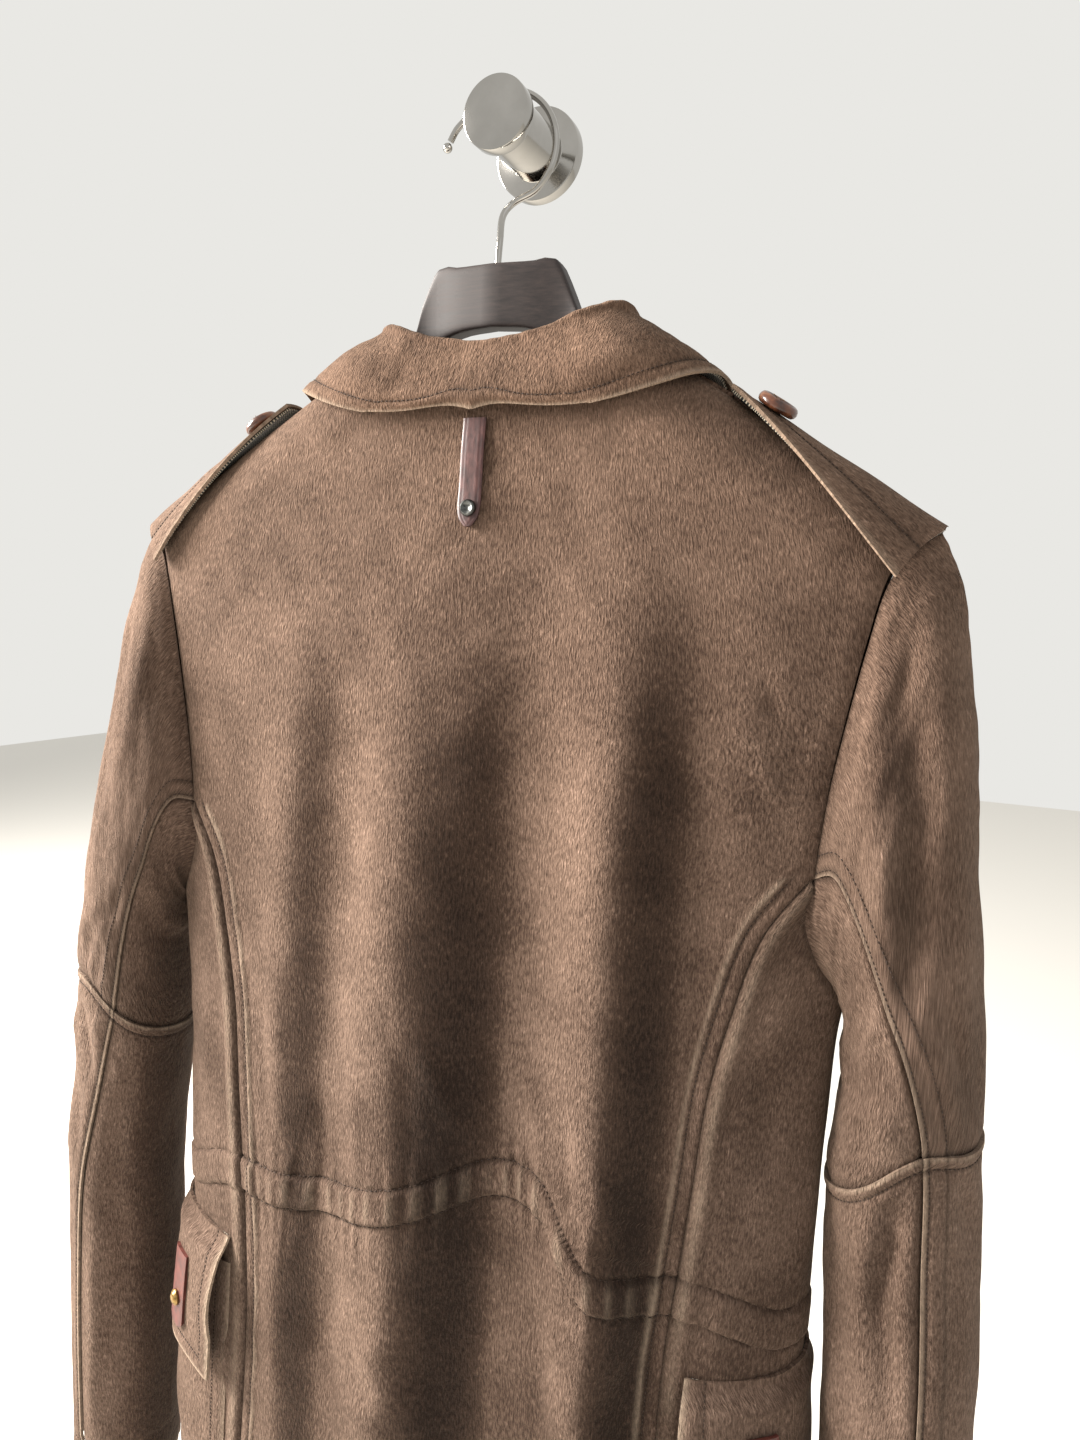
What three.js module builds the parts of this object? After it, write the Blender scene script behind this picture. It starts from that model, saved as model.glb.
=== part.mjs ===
// Suede jacket hung back to the room on a wooden hanger and a chrome wall peg.
// Millimetres, +Z up. The wall is the plane y = 0 and +Y goes into it. The origin is the
// middle of the peg's back face, and +X is to the right for someone in the room, who sees
// the jacket's back. The jacket, hanger and hook are worked out in the hook's own frame,
// whose origin lies on the peg's axis, and one group turns and moves them into place.

import * as THREE from 'three';

const { clamp, lerp, degToRad, radToDeg, smoothstep } = THREE.MathUtils;
const { sin, cos, sqrt, abs, sign, acos, asin, exp, max, min, PI } = Math;

// Driving dimensions

const HOOK_FROM_WALL = 41.6; // the hook's plane, measured from the wall
const HOOK_TURN = degToRad(3.6); // the jacket is turned a little about the upright
const HOOK_ASIDE = 6; // the jacket's middle lies this far right of the peg's axis

const SUEDE = 1.8; // body, sleeves, flaps and collar
const WOOL = 1.2; // the herringbone layer under collar, epaulettes and flaps
const LEATHER = 2.0; // hang loop and pocket tabs
const SEAM = 0.4; // clear space between two pieces where they are sewn
const ON_TOP = SEAM + WOOL + 0.3 + SUEDE; // outer face of a lined piece that lies on the body

const TIP_HALF = 222; // half the shoulder width
const TIP_Z = -211;
const SHOULDER_SLOPE = 0.66;
const NECK_SOFTNESS = 25; // rounds the two shoulder slopes into one at the middle
const ROUND = 46; // drop of the round-over from the shoulder line to the flat back
const NECK_HALF = 72;
const NECK_BACK = 91; // neckline below the shoulder line at centre back, along the cloth
const NECK_FRONT = 140;
const NECK_TURNS = [0, 21, 43, 66, 90]; // columns of the neck seam, from the middle to its side

const UNDERARM_Z = -425;
const HEM_Z = -850;
const CORNER_TURN = 120; // place on the armhole of the back seams of body and sleeve, degrees
const FRONT_CORNER_TURN = 225; // place on the armhole of the front side seam

const CASING_WIDTH = 20; // drawstring tunnel at the waist, between its two stitch rows
const CASING_RISE = 1.1;
const GATHER_RISE = 1.0; // extra height of every other gather in the tunnel
const BAND_WIDTH = 11; // lapped band beside the princess seam, on each panel
const BAND_RISE = 0.9;

const BUTTON_RADIUS = 10.3;
const BUTTON_THICK = 5;
const FRONT_BUTTONS = 5;

// Tables

// A smooth curve through values given at rising places.
function curve(at, values) {
  const last = at.length - 1;
  const slopes = at.map((_, i) => {
    const before = max(i - 1, 0);
    const after = min(i + 1, last);
    return (values[after] - values[before]) / (at[after] - at[before]);
  });
  return (place) => {
    let i = 0;
    while (i < last - 1 && place > at[i + 1]) i += 1;
    const width = at[i + 1] - at[i];
    const t = clamp((place - at[i]) / width, 0, 1);
    const ease = t * t * (3 - 2 * t);
    const leave = t * (1 - t) * (1 - t) * width * slopes[i];
    const arrive = t * t * (t - 1) * width * slopes[i + 1];
    return lerp(values[i], values[i + 1], ease) + leave + arrive;
  };
}

// A table read as smooth curves: each later column is a function of the first one.
function table(columns, rows) {
  const at = rows.map((row) => row[0]);
  const curves = {};
  columns.slice(1).forEach((name, k) => {
    curves[name] = curve(at, rows.map((row) => row[k + 1]));
  });
  return curves;
}

// The body's outline at each height: half width, y of the side, of centre back and front.
const BODY = table(['z', 'half', 'side', 'back', 'front'], [
  [-850, 197, -22, -74, 21],
  [-720, 189, -22, -73, 20],
  [-640, 185, -22, -72, 19],
  [-574, 187, -22, -70, 19],
  [-480, 189, -22, -66, 20],
  [-425, 194, -21, -63, 20],
  [-372, 200, -20, -60, 20],
  [-300, 214, -20, -56, 20],
  [-250, 228, -20, -52, 18],
  [-211, 240, -20, -48, 16],
  [-130, 254, -18, -40, 13],
]);

// Half width at the seams: princess seam on the back, side seam on the front, armhole.
const PRINCESS = table(['z', 'x'], [
  [-850, 134], [-750, 127], [-670, 123], [-618, 124.5], [-578, 128.5], [-529, 133.5],
  [-482, 138], [-439, 147], [-401, 158.5], [-371.5, 178.5],
]);
const FRONT_SEAM = table(['z', 'x'], [
  [-850, 182], [-720, 175], [-640, 170], [-574, 171], [-520, 172], [-450, 176], [-393.7, 179],
]);
const ARMHOLE = table(['z', 'x'], [
  [-400, 178.5], [-371.5, 178.5], [-333, 182], [-302, 187], [-263, 194.5], [-233, 202],
  [-218, 213], [-211, 222],
]);

// Top stitch row of the waist tunnel across the back, humped and then steep on the right.
const CASING = table(['x', 'z'], [
  [-128, -572], [-95, -571], [-58, -566], [-12, -553], [30, -536], [58, -538], [72, -556],
  [86, -573], [110, -577], [128, -575],
]);
const CASING_SIDE_Z = -588; // the same row at the sides and on the front

// Vertical drape folds of the back and the fronts: place, half width, height outward.
const BACK_FOLDS = [
  { x: 62, width: 24, rise: 3.6 },
  { x: 108, width: 20, rise: -3.2 },
  { x: -78, width: 30, rise: 2.4 },
  { x: -22, width: 26, rise: -1.6 },
];
const FRONT_FOLDS = [
  { x: 84, width: 24, rise: 3.0 },
  { x: 124, width: 18, rise: -2.4 },
  { x: -70, width: 28, rise: 2.6 },
  { x: -118, width: 20, rise: -2.2 },
];
const FOLD_TOP = -230; // the folds fade out above this height
const FOLD_FULL = -380;

// Sleeve rings from the armhole (0) over the elbow seam (6) to the cuff (11).
const SLEEVE = table(['ring', 'outX', 'outZ', 'inX', 'inZ', 'back', 'front', 'cut'], [
  [0, 222, -211, 193, -425, -50, 8, 26],
  [1, 231, -234, 195, -431, -54, 11, 21],
  [2, 237, -264, 196, -439, -57, 14, 15],
  [3, 243, -305, 197, -450, -59, 16, 9],
  [4, 248, -355, 197, -464, -60, 17, 4],
  [5, 254, -415, 195, -485, -60, 17, 1],
  [6, 260, -488, 192, -521, -57, 17, 0],
  [7, 263, -530, 193, -556, -55, 16, 0],
  [8, 267, -590, 196, -608, -56, 15, 0],
  [9, 269, -655, 198, -664, -57, 15, 0],
  [10, 273, -740, 202, -744, -56, 14, 0],
  [11, 276, -830, 207, -830, -53, 12, 0],
]);
const ELBOW_RING = 6;
const CUFF_RING = 11;
const LEFT_OUTWARD = table(['ring', 'shift'], [
  [0, 0], [3, 0], [4, 4], [5, 8], [6, 13], [8, 18], [9, 17], [11, 12],
]);
// Place of the back sleeve seam round the sleeve, in degrees from the outer edge.
const SLEEVE_SEAM = table(['ring', 'right', 'left'], [
  [0, CORNER_TURN, CORNER_TURN], [1, 112, 114], [2, 110, 114], [3, 108, 116.5], [4, 102.5, 117.5],
  [5, 90.5, 116], [6, 76, 110], [7.4, 75, 98], [8.7, 75, 82], [11, 75, 76],
]);
const INNER_SEAM_TURN = 210;
const ELBOW_PEAK = { turn: 78, width: 34, rise: 13 };

// The collar round the neck from centre back (0): its fold, and its edge on the shoulders.
const COLLAR = table(['turn', 'foldX', 'foldY', 'foldZ', 'edgeX', 'edgeDown'], [
  [0, 0, -32, -117.5, 0, -101],
  [21, 27, -31, -113.5, 41, -85],
  [43, 49, -28, -106, 79, -58],
  [66, 63, -19, -100.5, 105, -27],
  [90, 67, -7, -101.5, 117, 8],
  [114, 66, 8, -110, 115, 49],
  [137, 52, 20, -141, 94, 99],
  [159, 27, 25, -176, 56, 150],
]);
const FOLD_TILT = 0.03; // the fold stands a little higher on the right
const FOLD_HALF = 5; // half the thickness of the folded collar at its top

// The body's surface

// Depth of the round outline, as a share, at a share of its half width.
const WIDTH_POWER = 2.3;
const DEPTH_POWER = 0.45;
const depthShare = (share) => max(1 - min(abs(share), 1) ** WIDTH_POWER, 0) ** DEPTH_POWER;

const ridgeZ = (x) =>
  TIP_Z + SHOULDER_SLOPE * (TIP_HALF - sqrt(x * x + NECK_SOFTNESS * NECK_SOFTNESS));
const ridgeY = (x) => -12 - 8 * clamp((abs(x) - 60) / (TIP_HALF - 60), 0, 1);

// Drape folds at a place: how far the cloth stands out.
function drape(x, z, face) {
  const folds = face < 0 ? BACK_FOLDS : FRONT_FOLDS;
  const fall = 1 - smoothstep(z, FOLD_FULL, FOLD_TOP);
  const side = 1 - min(abs(x) / 150, 1) ** 6;
  return fall * side * folds.reduce(
    (sum, fold) => sum + fold.rise * exp(-(((x - fold.x) / fold.width) ** 2)), 0);
}

// y of the cloth at x, z. face is -1 on the back and +1 on the front.
function clothY(x, z, face) {
  const shoulder = ridgeZ(x) - ROUND;
  const flatZ = min(z, shoulder);
  const middle = face < 0 ? BODY.back(flatZ) : BODY.front(flatZ);
  const side = BODY.side(flatZ);
  const flat = side + (middle - side) * depthShare(x / BODY.half(flatZ))
    + face * drape(x, flatZ, face);
  if (z <= shoulder) return flat;
  const climb = min((z - shoulder) / ROUND, 1);
  return ridgeY(x) + (flat - ridgeY(x)) * sqrt(1 - climb * climb);
}

// A point on the cloth by x and the way down from the shoulder line: below zero on the
// back, above zero on the front.
function overShoulder(x, down) {
  const shoulder = ridgeZ(x) - ROUND;
  const round = (ROUND * PI) / 2;
  const z = abs(down) < round
    ? shoulder + ROUND * cos(abs(down) / ROUND)
    : shoulder - (abs(down) - round);
  return new THREE.Vector3(x, clothY(x, z, down < 0 ? -1 : 1), z);
}

// The way down from the shoulder line to a height.
function downTo(x, z) {
  const shoulder = ridgeZ(x) - ROUND;
  if (z > shoulder) return ROUND * acos(min((z - shoulder) / ROUND, 1));
  return (ROUND * PI) / 2 + shoulder - z;
}

// Direction out of a surface given as a function of two places, by small steps.
function outward(surface, a, b, away, step = 0.5) {
  const first = surface(a + step, b).sub(surface(a - step, b));
  const second = surface(a, b + step).sub(surface(a, b - step));
  const normal = first.cross(second).normalize();
  return normal.dot(away) < 0 ? normal.negate() : normal;
}

const fromShoulder = (x, down) =>
  new THREE.Vector3(x / 400, clamp(down / ROUND, -1, 1), 1 - min(abs(down) / 100, 0.95));

const shoulderNormal = (x, down) => outward(overShoulder, x, down, fromShoulder(x, down));

// A point that stands off the cloth over the shoulders.
const offShoulder = (x, down, off) =>
  overShoulder(x, down).addScaledVector(shoulderNormal(x, down), off);

// A point round the body: turn is 0 at centre back and PI at centre front.
const turnAtX = (x, z) => asin(min((abs(x) / BODY.half(z)) ** (WIDTH_POWER / 2), 1));
function ringPoint(side, turn, z) {
  const x = side * BODY.half(z) * sin(turn) ** (2 / WIDTH_POWER);
  return new THREE.Vector3(x, clothY(x, z, turn < PI / 2 ? -1 : 1), z);
}

function ringNormal(side, turn, z) {
  const surface = (degrees, height) => ringPoint(side, degToRad(degrees), height);
  const away = new THREE.Vector3(side * sin(turn), -cos(turn), 0);
  return outward(surface, radToDeg(turn), z, away);
}

// A point that stands off the body's side.
const offRing = (side, turn, z, off) =>
  ringPoint(side, turn, z).addScaledVector(ringNormal(side, turn, z), off);

// The armhole, as a closed round of 24 steps shared by body and sleeve

const ARMHOLE_STEPS = 24;
const ARMHOLE_MIDDLE_Z = (TIP_Z + UNDERARM_Z) / 2;
const ARMHOLE_HALF_Z = (TIP_Z - UNDERARM_Z) / 2;
const armholeZ = (degrees) => ARMHOLE_MIDDLE_Z + ARMHOLE_HALF_Z * cos(degToRad(degrees));
const SIDE_SHARE = 0.51; // the underarm's place between the side panel's two seams

// Place on the side panel's top edge, 0 at the princess seam and 1 at the front seam.
function sidePlace(degrees) {
  const half = (turn) => abs(cos(degToRad(turn / 2)));
  if (degrees <= 180) return SIDE_SHARE * (1 - half(degrees) / half(CORNER_TURN));
  return SIDE_SHARE + ((1 - SIDE_SHARE) * half(degrees)) / half(FRONT_CORNER_TURN);
}

function sideTopZ(place) {
  if (place <= SIDE_SHARE) {
    const share = 1 - place / SIDE_SHARE;
    return UNDERARM_Z + (armholeZ(CORNER_TURN) - UNDERARM_Z) * share * share;
  }
  const share = (place - SIDE_SHARE) / (1 - SIDE_SHARE);
  return UNDERARM_Z + (armholeZ(FRONT_CORNER_TURN) - UNDERARM_Z) * share * share;
}

const sideTurn = (place, z) =>
  lerp(turnAtX(PRINCESS.x(z), z), PI - turnAtX(FRONT_SEAM.x(z), z), place);

// A point of the armhole: 0 at the shoulder tip, 90 on the back, 180 under the arm.
function armholePoint(side, degrees) {
  const turn = (degrees + 360) % 360;
  const z = armholeZ(turn);
  if (turn > CORNER_TURN && turn < FRONT_CORNER_TURN) {
    return ringPoint(side, sideTurn(sidePlace(turn), z), z);
  }
  const x = side * ARMHOLE.x(z);
  return new THREE.Vector3(x, clothY(x, z, turn <= 180 ? -1 : 1), z);
}

// Walls

// Draws the rim of a grid of points in by half a seam, so that sewn pieces stay apart.
function inset(grid, gap = SEAM / 2) {
  const moved = grid.map((row) => row.map((point) => point.clone()));
  const pull = (point, to) => point.add(to.clone().sub(point).setLength(gap));
  const top = grid.length - 1;
  const end = grid[0].length - 1;
  grid.forEach((row, j) => {
    pull(moved[j][0], row[1]);
    pull(moved[j][end], row[end - 1]);
  });
  grid[0].forEach((_, i) => {
    pull(moved[0][i], grid[1][i]);
    pull(moved[top][i], grid[top - 1][i]);
  });
  return moved;
}

// Heading of a line of points at one of them: at an end it follows the curve's bend.
function heading(pointAt, i, last) {
  if (i > 0 && i < last) return pointAt(i + 1).clone().sub(pointAt(i - 1));
  const step = i === 0 ? 1 : -1;
  const near = pointAt(i + step).clone().sub(pointAt(i));
  if (last < 2) return near.multiplyScalar(step);
  const far = pointAt(i + 2 * step).clone().sub(pointAt(i + step));
  const straight = near.clone().normalize();
  const bend = straight.clone().sub(far.clone().normalize());
  const share = near.length() / (near.length() + far.length());
  return straight.addScaledVector(bend, share).multiplyScalar(step);
}

// Normals of a grid of points, from its neighbours. away points roughly outward.
function gridNormals(grid, away) {
  const normals = grid.map((row, j) => row.map((_, i) => {
    const across = heading((k) => grid[j][k], i, row.length - 1);
    const along = heading((k) => grid[k][i], j, grid.length - 1);
    return across.cross(along).normalize();
  }));
  const facing = normals[grid.length >> 1][grid[0].length >> 1].dot(away) < 0 ? -1 : 1;
  return normals.map((row) => row.map((normal) => normal.multiplyScalar(facing)));
}

// A closed wall: the grid, raised by lift, is its outer face and the inner face lies one
// thickness inside it.
function wall(grid, normals, thickness, lift = () => 0) {
  const rows = grid.length;
  const columns = grid[0].length;
  const [j0, i0] = [rows >> 1, columns >> 1];
  const middleAcross = heading((k) => grid[j0][k], i0, columns - 1);
  const middleAlong = heading((k) => grid[k][i0], j0, rows - 1);
  const facing = sign(middleAcross.cross(middleAlong).dot(normals[j0][i0]));
  const outer = [];
  const inner = [];
  grid.forEach((row, j) => row.forEach((point, i) => {
    outer.push(...point.clone().addScaledVector(normals[j][i], lift(j, i)).toArray());
    inner.push(...point.clone().addScaledVector(normals[j][i], -thickness).toArray());
  }));
  const index = [];
  const behind = rows * columns;
  const face = (a, b, c) => index.push(...(facing > 0 ? [a, b, c] : [a, c, b]));
  for (let j = 0; j < rows - 1; j += 1) {
    for (let i = 0; i < columns - 1; i += 1) {
      const a = j * columns + i;
      const b = a + 1;
      const c = b + columns;
      const d = a + columns;
      face(a, b, c);
      face(a, c, d);
      face(behind + a, behind + c, behind + b);
      face(behind + a, behind + d, behind + c);
    }
  }
  const rim = [];
  for (let i = 0; i < columns - 1; i += 1) rim.push(i);
  for (let j = 0; j < rows - 1; j += 1) rim.push(j * columns + columns - 1);
  for (let i = columns - 1; i > 0; i -= 1) rim.push((rows - 1) * columns + i);
  for (let j = rows - 1; j > 0; j -= 1) rim.push(j * columns);
  rim.forEach((p, k) => {
    const q = rim[(k + 1) % rim.length];
    face(p, behind + p, behind + q);
    face(p, behind + q, q);
  });
  const geometry = new THREE.BufferGeometry();
  geometry.setAttribute('position', new THREE.Float32BufferAttribute([...outer, ...inner], 3));
  geometry.setIndex(index);
  geometry.computeVertexNormals();
  return geometry;
}

// A closed solid through rings of points, each ring the same count, with flat ends.
function loft(rings) {
  const count = rings[0].length;
  const positions = rings.flat().flatMap((point) => point.toArray());
  const index = [];
  for (let r = 0; r < rings.length - 1; r += 1) {
    for (let i = 0; i < count; i += 1) {
      const next = (i + 1) % count;
      const a = r * count + i;
      const b = r * count + next;
      index.push(a, b, b + count, a, b + count, a + count);
    }
  }
  const last = (rings.length - 1) * count;
  for (let i = 1; i < count - 1; i += 1) {
    index.push(0, i + 1, i);
    index.push(last, last + i, last + i + 1);
  }
  const geometry = new THREE.BufferGeometry();
  geometry.setAttribute('position', new THREE.Float32BufferAttribute(positions, 3));
  geometry.setIndex(index);
  geometry.computeVertexNormals();
  return geometry;
}

// Scene

const object = new THREE.Group();
const hung = new THREE.Group();
hung.rotation.z = HOOK_TURN;
hung.position.set(HOOK_ASIDE * cos(HOOK_TURN), -HOOK_FROM_WALL + HOOK_ASIDE * sin(HOOK_TURN), 0);
object.add(hung);

const FINISH = {
  suede: { color: 0x6b5240, roughness: 0.95, metalness: 0 },
  wool: { color: 0x4a463f, roughness: 0.95, metalness: 0 },
  leather: { color: 0x3c211b, roughness: 0.5, metalness: 0 },
  tab: { color: 0x6e3424, roughness: 0.5, metalness: 0 },
  button: { color: 0x5a3421, roughness: 0.55, metalness: 0 },
  snap: { color: 0x6a5a45, roughness: 0.4, metalness: 0.9 },
  rivet: { color: 0x33322f, roughness: 0.4, metalness: 0.9 },
  wood: { color: 0x352723, roughness: 0.5, metalness: 0 },
  chrome: { color: 0xc8cacc, roughness: 0.12, metalness: 1 },
};

function add(name, geometry, finish, parent = hung) {
  const mesh = new THREE.Mesh(geometry, new THREE.MeshStandardMaterial(FINISH[finish]));
  mesh.name = name;
  parent.add(mesh);
  return mesh;
}

const SIDES = [['left', -1], ['right', 1]];
const BACKWARD = new THREE.Vector3(0, -1, 0);
const FORWARD = new THREE.Vector3(0, 1, 0);
const UPWARD = new THREE.Vector3(0, 0, 1);

// Body panels

const TUNNEL_EDGE = 1.6; // half the slope at each stitch row of the tunnel
const TUNNEL = [
  -CASING_WIDTH - TUNNEL_EDGE, -CASING_WIDTH + TUNNEL_EDGE, -CASING_WIDTH / 2,
  -TUNNEL_EDGE, TUNNEL_EDGE,
];
const SKIRT_ROWS = [HEM_Z, -780, -710, -645];
const CHEST_ROWS = [-500, -462, UNDERARM_Z];
const FIRST_TUNNEL_ROW = SKIRT_ROWS.length + 1;
const inTunnel = (j) => j >= FIRST_TUNNEL_ROW && j < FIRST_TUNNEL_ROW + TUNNEL.length - 2;

// Heights of the rows of points at one place round the body, from the hem to a top height.
function bodyHeights(casingZ, topZ) {
  const rise = (z) => (topZ - UNDERARM_Z) * smoothstep(z, -520, UNDERARM_Z);
  return [
    ...SKIRT_ROWS,
    ...TUNNEL.map((offset) => casingZ + offset),
    ...CHEST_ROWS.map((z) => z + rise(z)),
  ];
}

function armholeTurns(from, to) {
  const step = 360 / ARMHOLE_STEPS;
  return Array.from({ length: abs(to - from) / step }, (_, k) => from + sign(to - from) * step * (k + 1));
}

// Rows of places on a back or front panel, each an x and a way down from the shoulder line.
// columnsAt gives the x of each column for a half width.
function panelPlaces({ face, seamX, cornerTurn, endTurn, casingAt, middleTop, neckDown, columnsAt }) {
  const corner = armholeZ(cornerTurn);
  const edgeHeights = bodyHeights(casingAt(columnsAt(seamX(CASING_SIDE_Z)).at(-1)), corner);
  const waist = columnsAt(PRINCESS.x(CASING_SIDE_Z));
  const share = (i) => abs(waist[i] / waist.at(-1));
  const cornerAt = (i) => lerp(middleTop, corner, share(i) ** 2);
  const places = edgeHeights.map((edgeZ, j) => columnsAt(seamX(edgeZ)).map((x, i) => {
    const z = bodyHeights(casingAt(waist[i]), cornerAt(i))[j];
    return [x, face * downTo(x, z)];
  }));
  armholeTurns(cornerTurn, endTurn).forEach((turn) => {
    const z = armholeZ(turn);
    const edgeX = ARMHOLE.x(z);
    const climb = 1 - downTo(edgeX, z) / downTo(ARMHOLE.x(corner), corner);
    places.push(columnsAt(edgeX).map((x, i) => {
      const start = downTo(x, cornerAt(i));
      return [x, face * lerp(start, neckDown(x), climb)];
    }));
  });
  return places;
}

const readGrid = (places, read) => places.map((row) => row.map((place) => read(...place)));

// A panel's wall over the shoulders, from its rows of places.
const panelWall = (places, lift) => wall(
  inset(readGrid(places, overShoulder)), readGrid(places, shoulderNormal), SUEDE, lift);

const neckShare = (x) => max(1 - (x / NECK_HALF) ** 2, 0);
const NECK_GAP = 0.8;
const neckColumns = (edge) => NECK_TURNS.map((turn) => (NECK_HALF * sin(degToRad(turn))) / edge);
const backNeck = (x) => (abs(x) < NECK_HALF ? NECK_BACK * neckShare(x) ** 0.8 + NECK_GAP : 0);
const frontNeck = (x) => (abs(x) < NECK_HALF ? NECK_FRONT * neckShare(x) ** 0.7 + NECK_GAP : 0);

const BAND_SLOPE = 1.5;
const BACK_SHARES = [
  ...neckColumns(TIP_HALF - BAND_WIDTH - BAND_SLOPE), 0.475, 0.606, 0.737, 0.868, 1,
];

// The back: one panel between the princess seams, with the lapped band beside each.
function backPanel() {
  const columnsAt = (edge) => {
    const inside = edge - BAND_WIDTH - BAND_SLOPE;
    const half = [...BACK_SHARES.map((share) => share * inside), edge - BAND_WIDTH, edge];
    return [...half.slice(1).reverse().map((x) => -x), ...half];
  };
  const places = panelPlaces({
    face: -1, seamX: PRINCESS.x, cornerTurn: CORNER_TURN, endTurn: 0, casingAt: CASING.z,
    middleTop: -335, neckDown: backNeck, columnsAt,
  });
  const columns = places[0].length;
  const lift = (j, i) => {
    const belowArmhole = j < FIRST_TUNNEL_ROW + TUNNEL.length + 1;
    const band = (i < 2 || i >= columns - 2) && belowArmhole ? BAND_RISE : 0;
    const gather = i % 2 ? GATHER_RISE : 0;
    return band + (inTunnel(j) ? CASING_RISE + gather : 0);
  };
  add('back_panel', panelWall(places, lift), 'suede');
}

// A side panel from the princess seam round the side to the front seam, one to a side.
function sidePanel(name, side) {
  const seamCasing = CASING.z(side * 128);
  const casingAt = (place) => lerp(seamCasing, CASING_SIDE_Z, smoothstep(place, 0, 0.4));
  const turns = armholeTurns(CORNER_TURN, FRONT_CORNER_TURN);
  const places = [0, 0.06, 0.072, ...turns.map(sidePlace)];
  const rows = bodyHeights(0, 0).length;
  const grid = Array.from({ length: rows }, (_, j) => places.map((place) => {
    const z = bodyHeights(casingAt(place), sideTopZ(place))[j];
    return [side, sideTurn(place, z), z];
  }));
  const lift = (j, i) => {
    const band = i < 2 ? BAND_RISE : 0;
    return band + (inTunnel(j) ? CASING_RISE : 0);
  };
  const panel = wall(inset(readGrid(grid, ringPoint)), readGrid(grid, ringNormal), SUEDE, lift);
  add(`side_panel_${name}`, panel, 'suede');
}

// A front from the centre to its side seam and armhole.
const FRONT_SHARES = [...neckColumns(TIP_HALF), 0.46, 0.6, 0.74, 0.88, 1];
const CENTRE_GAP = 0.4;
function frontPanel(name, side) {
  const columnsAt = (edge) => FRONT_SHARES.map((share) => side * lerp(CENTRE_GAP, edge, share));
  const places = panelPlaces({
    face: 1, seamX: FRONT_SEAM.x, cornerTurn: FRONT_CORNER_TURN, endTurn: 360,
    casingAt: () => CASING_SIDE_Z, middleTop: -360, neckDown: frontNeck, columnsAt,
  });
  const lift = (j, i) => (inTunnel(j) && i > 1 ? CASING_RISE : 0);
  add(`front_${name}`, panelWall(places, lift), 'suede');
}

// The buttoned strip over the centre front, and its buttons.
const PLACKET_HALF = 17;
const PLACKET_TOP = 150; // way down from the shoulder line
const PLACKET_OFF = 0.9 + LEATHER;
function placket() {
  const bottom = downTo(0, HEM_Z + 1);
  const rows = Array.from({ length: 11 }, (_, k) => lerp(bottom, PLACKET_TOP, k / 10));
  const grid = rows.map((down) => [-1, -0.35, 0.35, 1].map((share) =>
    offShoulder(share * PLACKET_HALF, down, PLACKET_OFF)));
  add('front_placket', wall(grid, gridNormals(grid, FORWARD), LEATHER), 'suede');
  for (let k = 0; k < FRONT_BUTTONS; k += 1) {
    const down = PLACKET_TOP + 22 + k * 128;
    const seat = offShoulder(0, down, PLACKET_OFF + 0.3);
    button(`front_button_${k + 1}`, seat, outward(overShoulder, 0, down, FORWARD));
  }
}

// Small hard pieces

// A turned piece that stands on seat along normal. profile holds radius and height pairs.
function turned(name, profile, seat, normal, segments, finish, parent = hung) {
  const points = profile.map(([radius, height]) => new THREE.Vector2(radius, height));
  const mesh = add(name, new THREE.LatheGeometry(points, segments), finish, parent);
  mesh.position.copy(seat);
  mesh.quaternion.setFromUnitVectors(new THREE.Vector3(0, 1, 0), normal);
}

function button(name, seat, normal) {
  const dish = 1.2;
  const profile = [
    [0, 0], [BUTTON_RADIUS - 1.5, 0], [BUTTON_RADIUS, 2], [BUTTON_RADIUS - 1, BUTTON_THICK],
    [BUTTON_RADIUS - 3, BUTTON_THICK], [0, BUTTON_THICK - dish],
  ];
  turned(name, profile, seat, normal, 12, 'button');
}

function stud(name, radius, height, seat, normal, finish) {
  const profile = [[0, 0], [radius, 0], [radius, height * 0.3], [radius * 0.7, height * 0.8], [0, height]];
  turned(name, profile, seat, normal, 12, finish);
}

// Sleeves

const smoothFade = (ring, end) => max(1 - ring / end, 0) ** 2;

// A point of a sleeve: degrees is 0 on its outer edge, 90 on its back, 180 at the body.
function sleevePoint(side, degrees, ring) {
  const turn = degToRad(degrees);
  const section = (place) => {
    const shift = side < 0 ? LEFT_OUTWARD.shift(place) : 0;
    const out = { x: SLEEVE.outX(place) + shift, z: SLEEVE.outZ(place) };
    const inner = { x: SLEEVE.inX(place) + shift, z: SLEEVE.inZ(place) };
    const halfX = (out.x - inner.x) / 2;
    const halfZ = (out.z - inner.z) / 2;
    const length = sqrt(halfX * halfX + halfZ * halfZ);
    const cut = SLEEVE.cut(place) * sin(turn) ** 2;
    const back = SLEEVE.back(place);
    const front = SLEEVE.front(place);
    return new THREE.Vector3(
      side * (inner.x + halfX + halfX * cos(turn) - (cut * halfZ) / length),
      (back + front) / 2 + ((back - front) / 2) * sin(turn),
      inner.z + halfZ + halfZ * cos(turn) + (cut * halfX) / length,
    );
  };
  const point = section(ring);
  const apart = armholePoint(side, degrees).sub(section(0));
  point.addScaledVector(apart, smoothFade(ring, 3));
  const off = (((degrees + 180) % 360) - 180 - ELBOW_PEAK.turn) / ELBOW_PEAK.width;
  const near = exp(-(((ring - ELBOW_RING) / 1.2) ** 2));
  point.z += ELBOW_PEAK.rise * near * exp(-off * off);
  return point;
}

// The body's own normal at the armhole.
function armholeNormal(side, degrees) {
  const point = armholePoint(side, degrees);
  return shoulderNormal(point.x, -sign(degrees || 1) * max(downTo(point.x, point.z), 0.01));
}

const STEADY_RING = 1.2; // nearer the armhole the rings slide along each other
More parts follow.
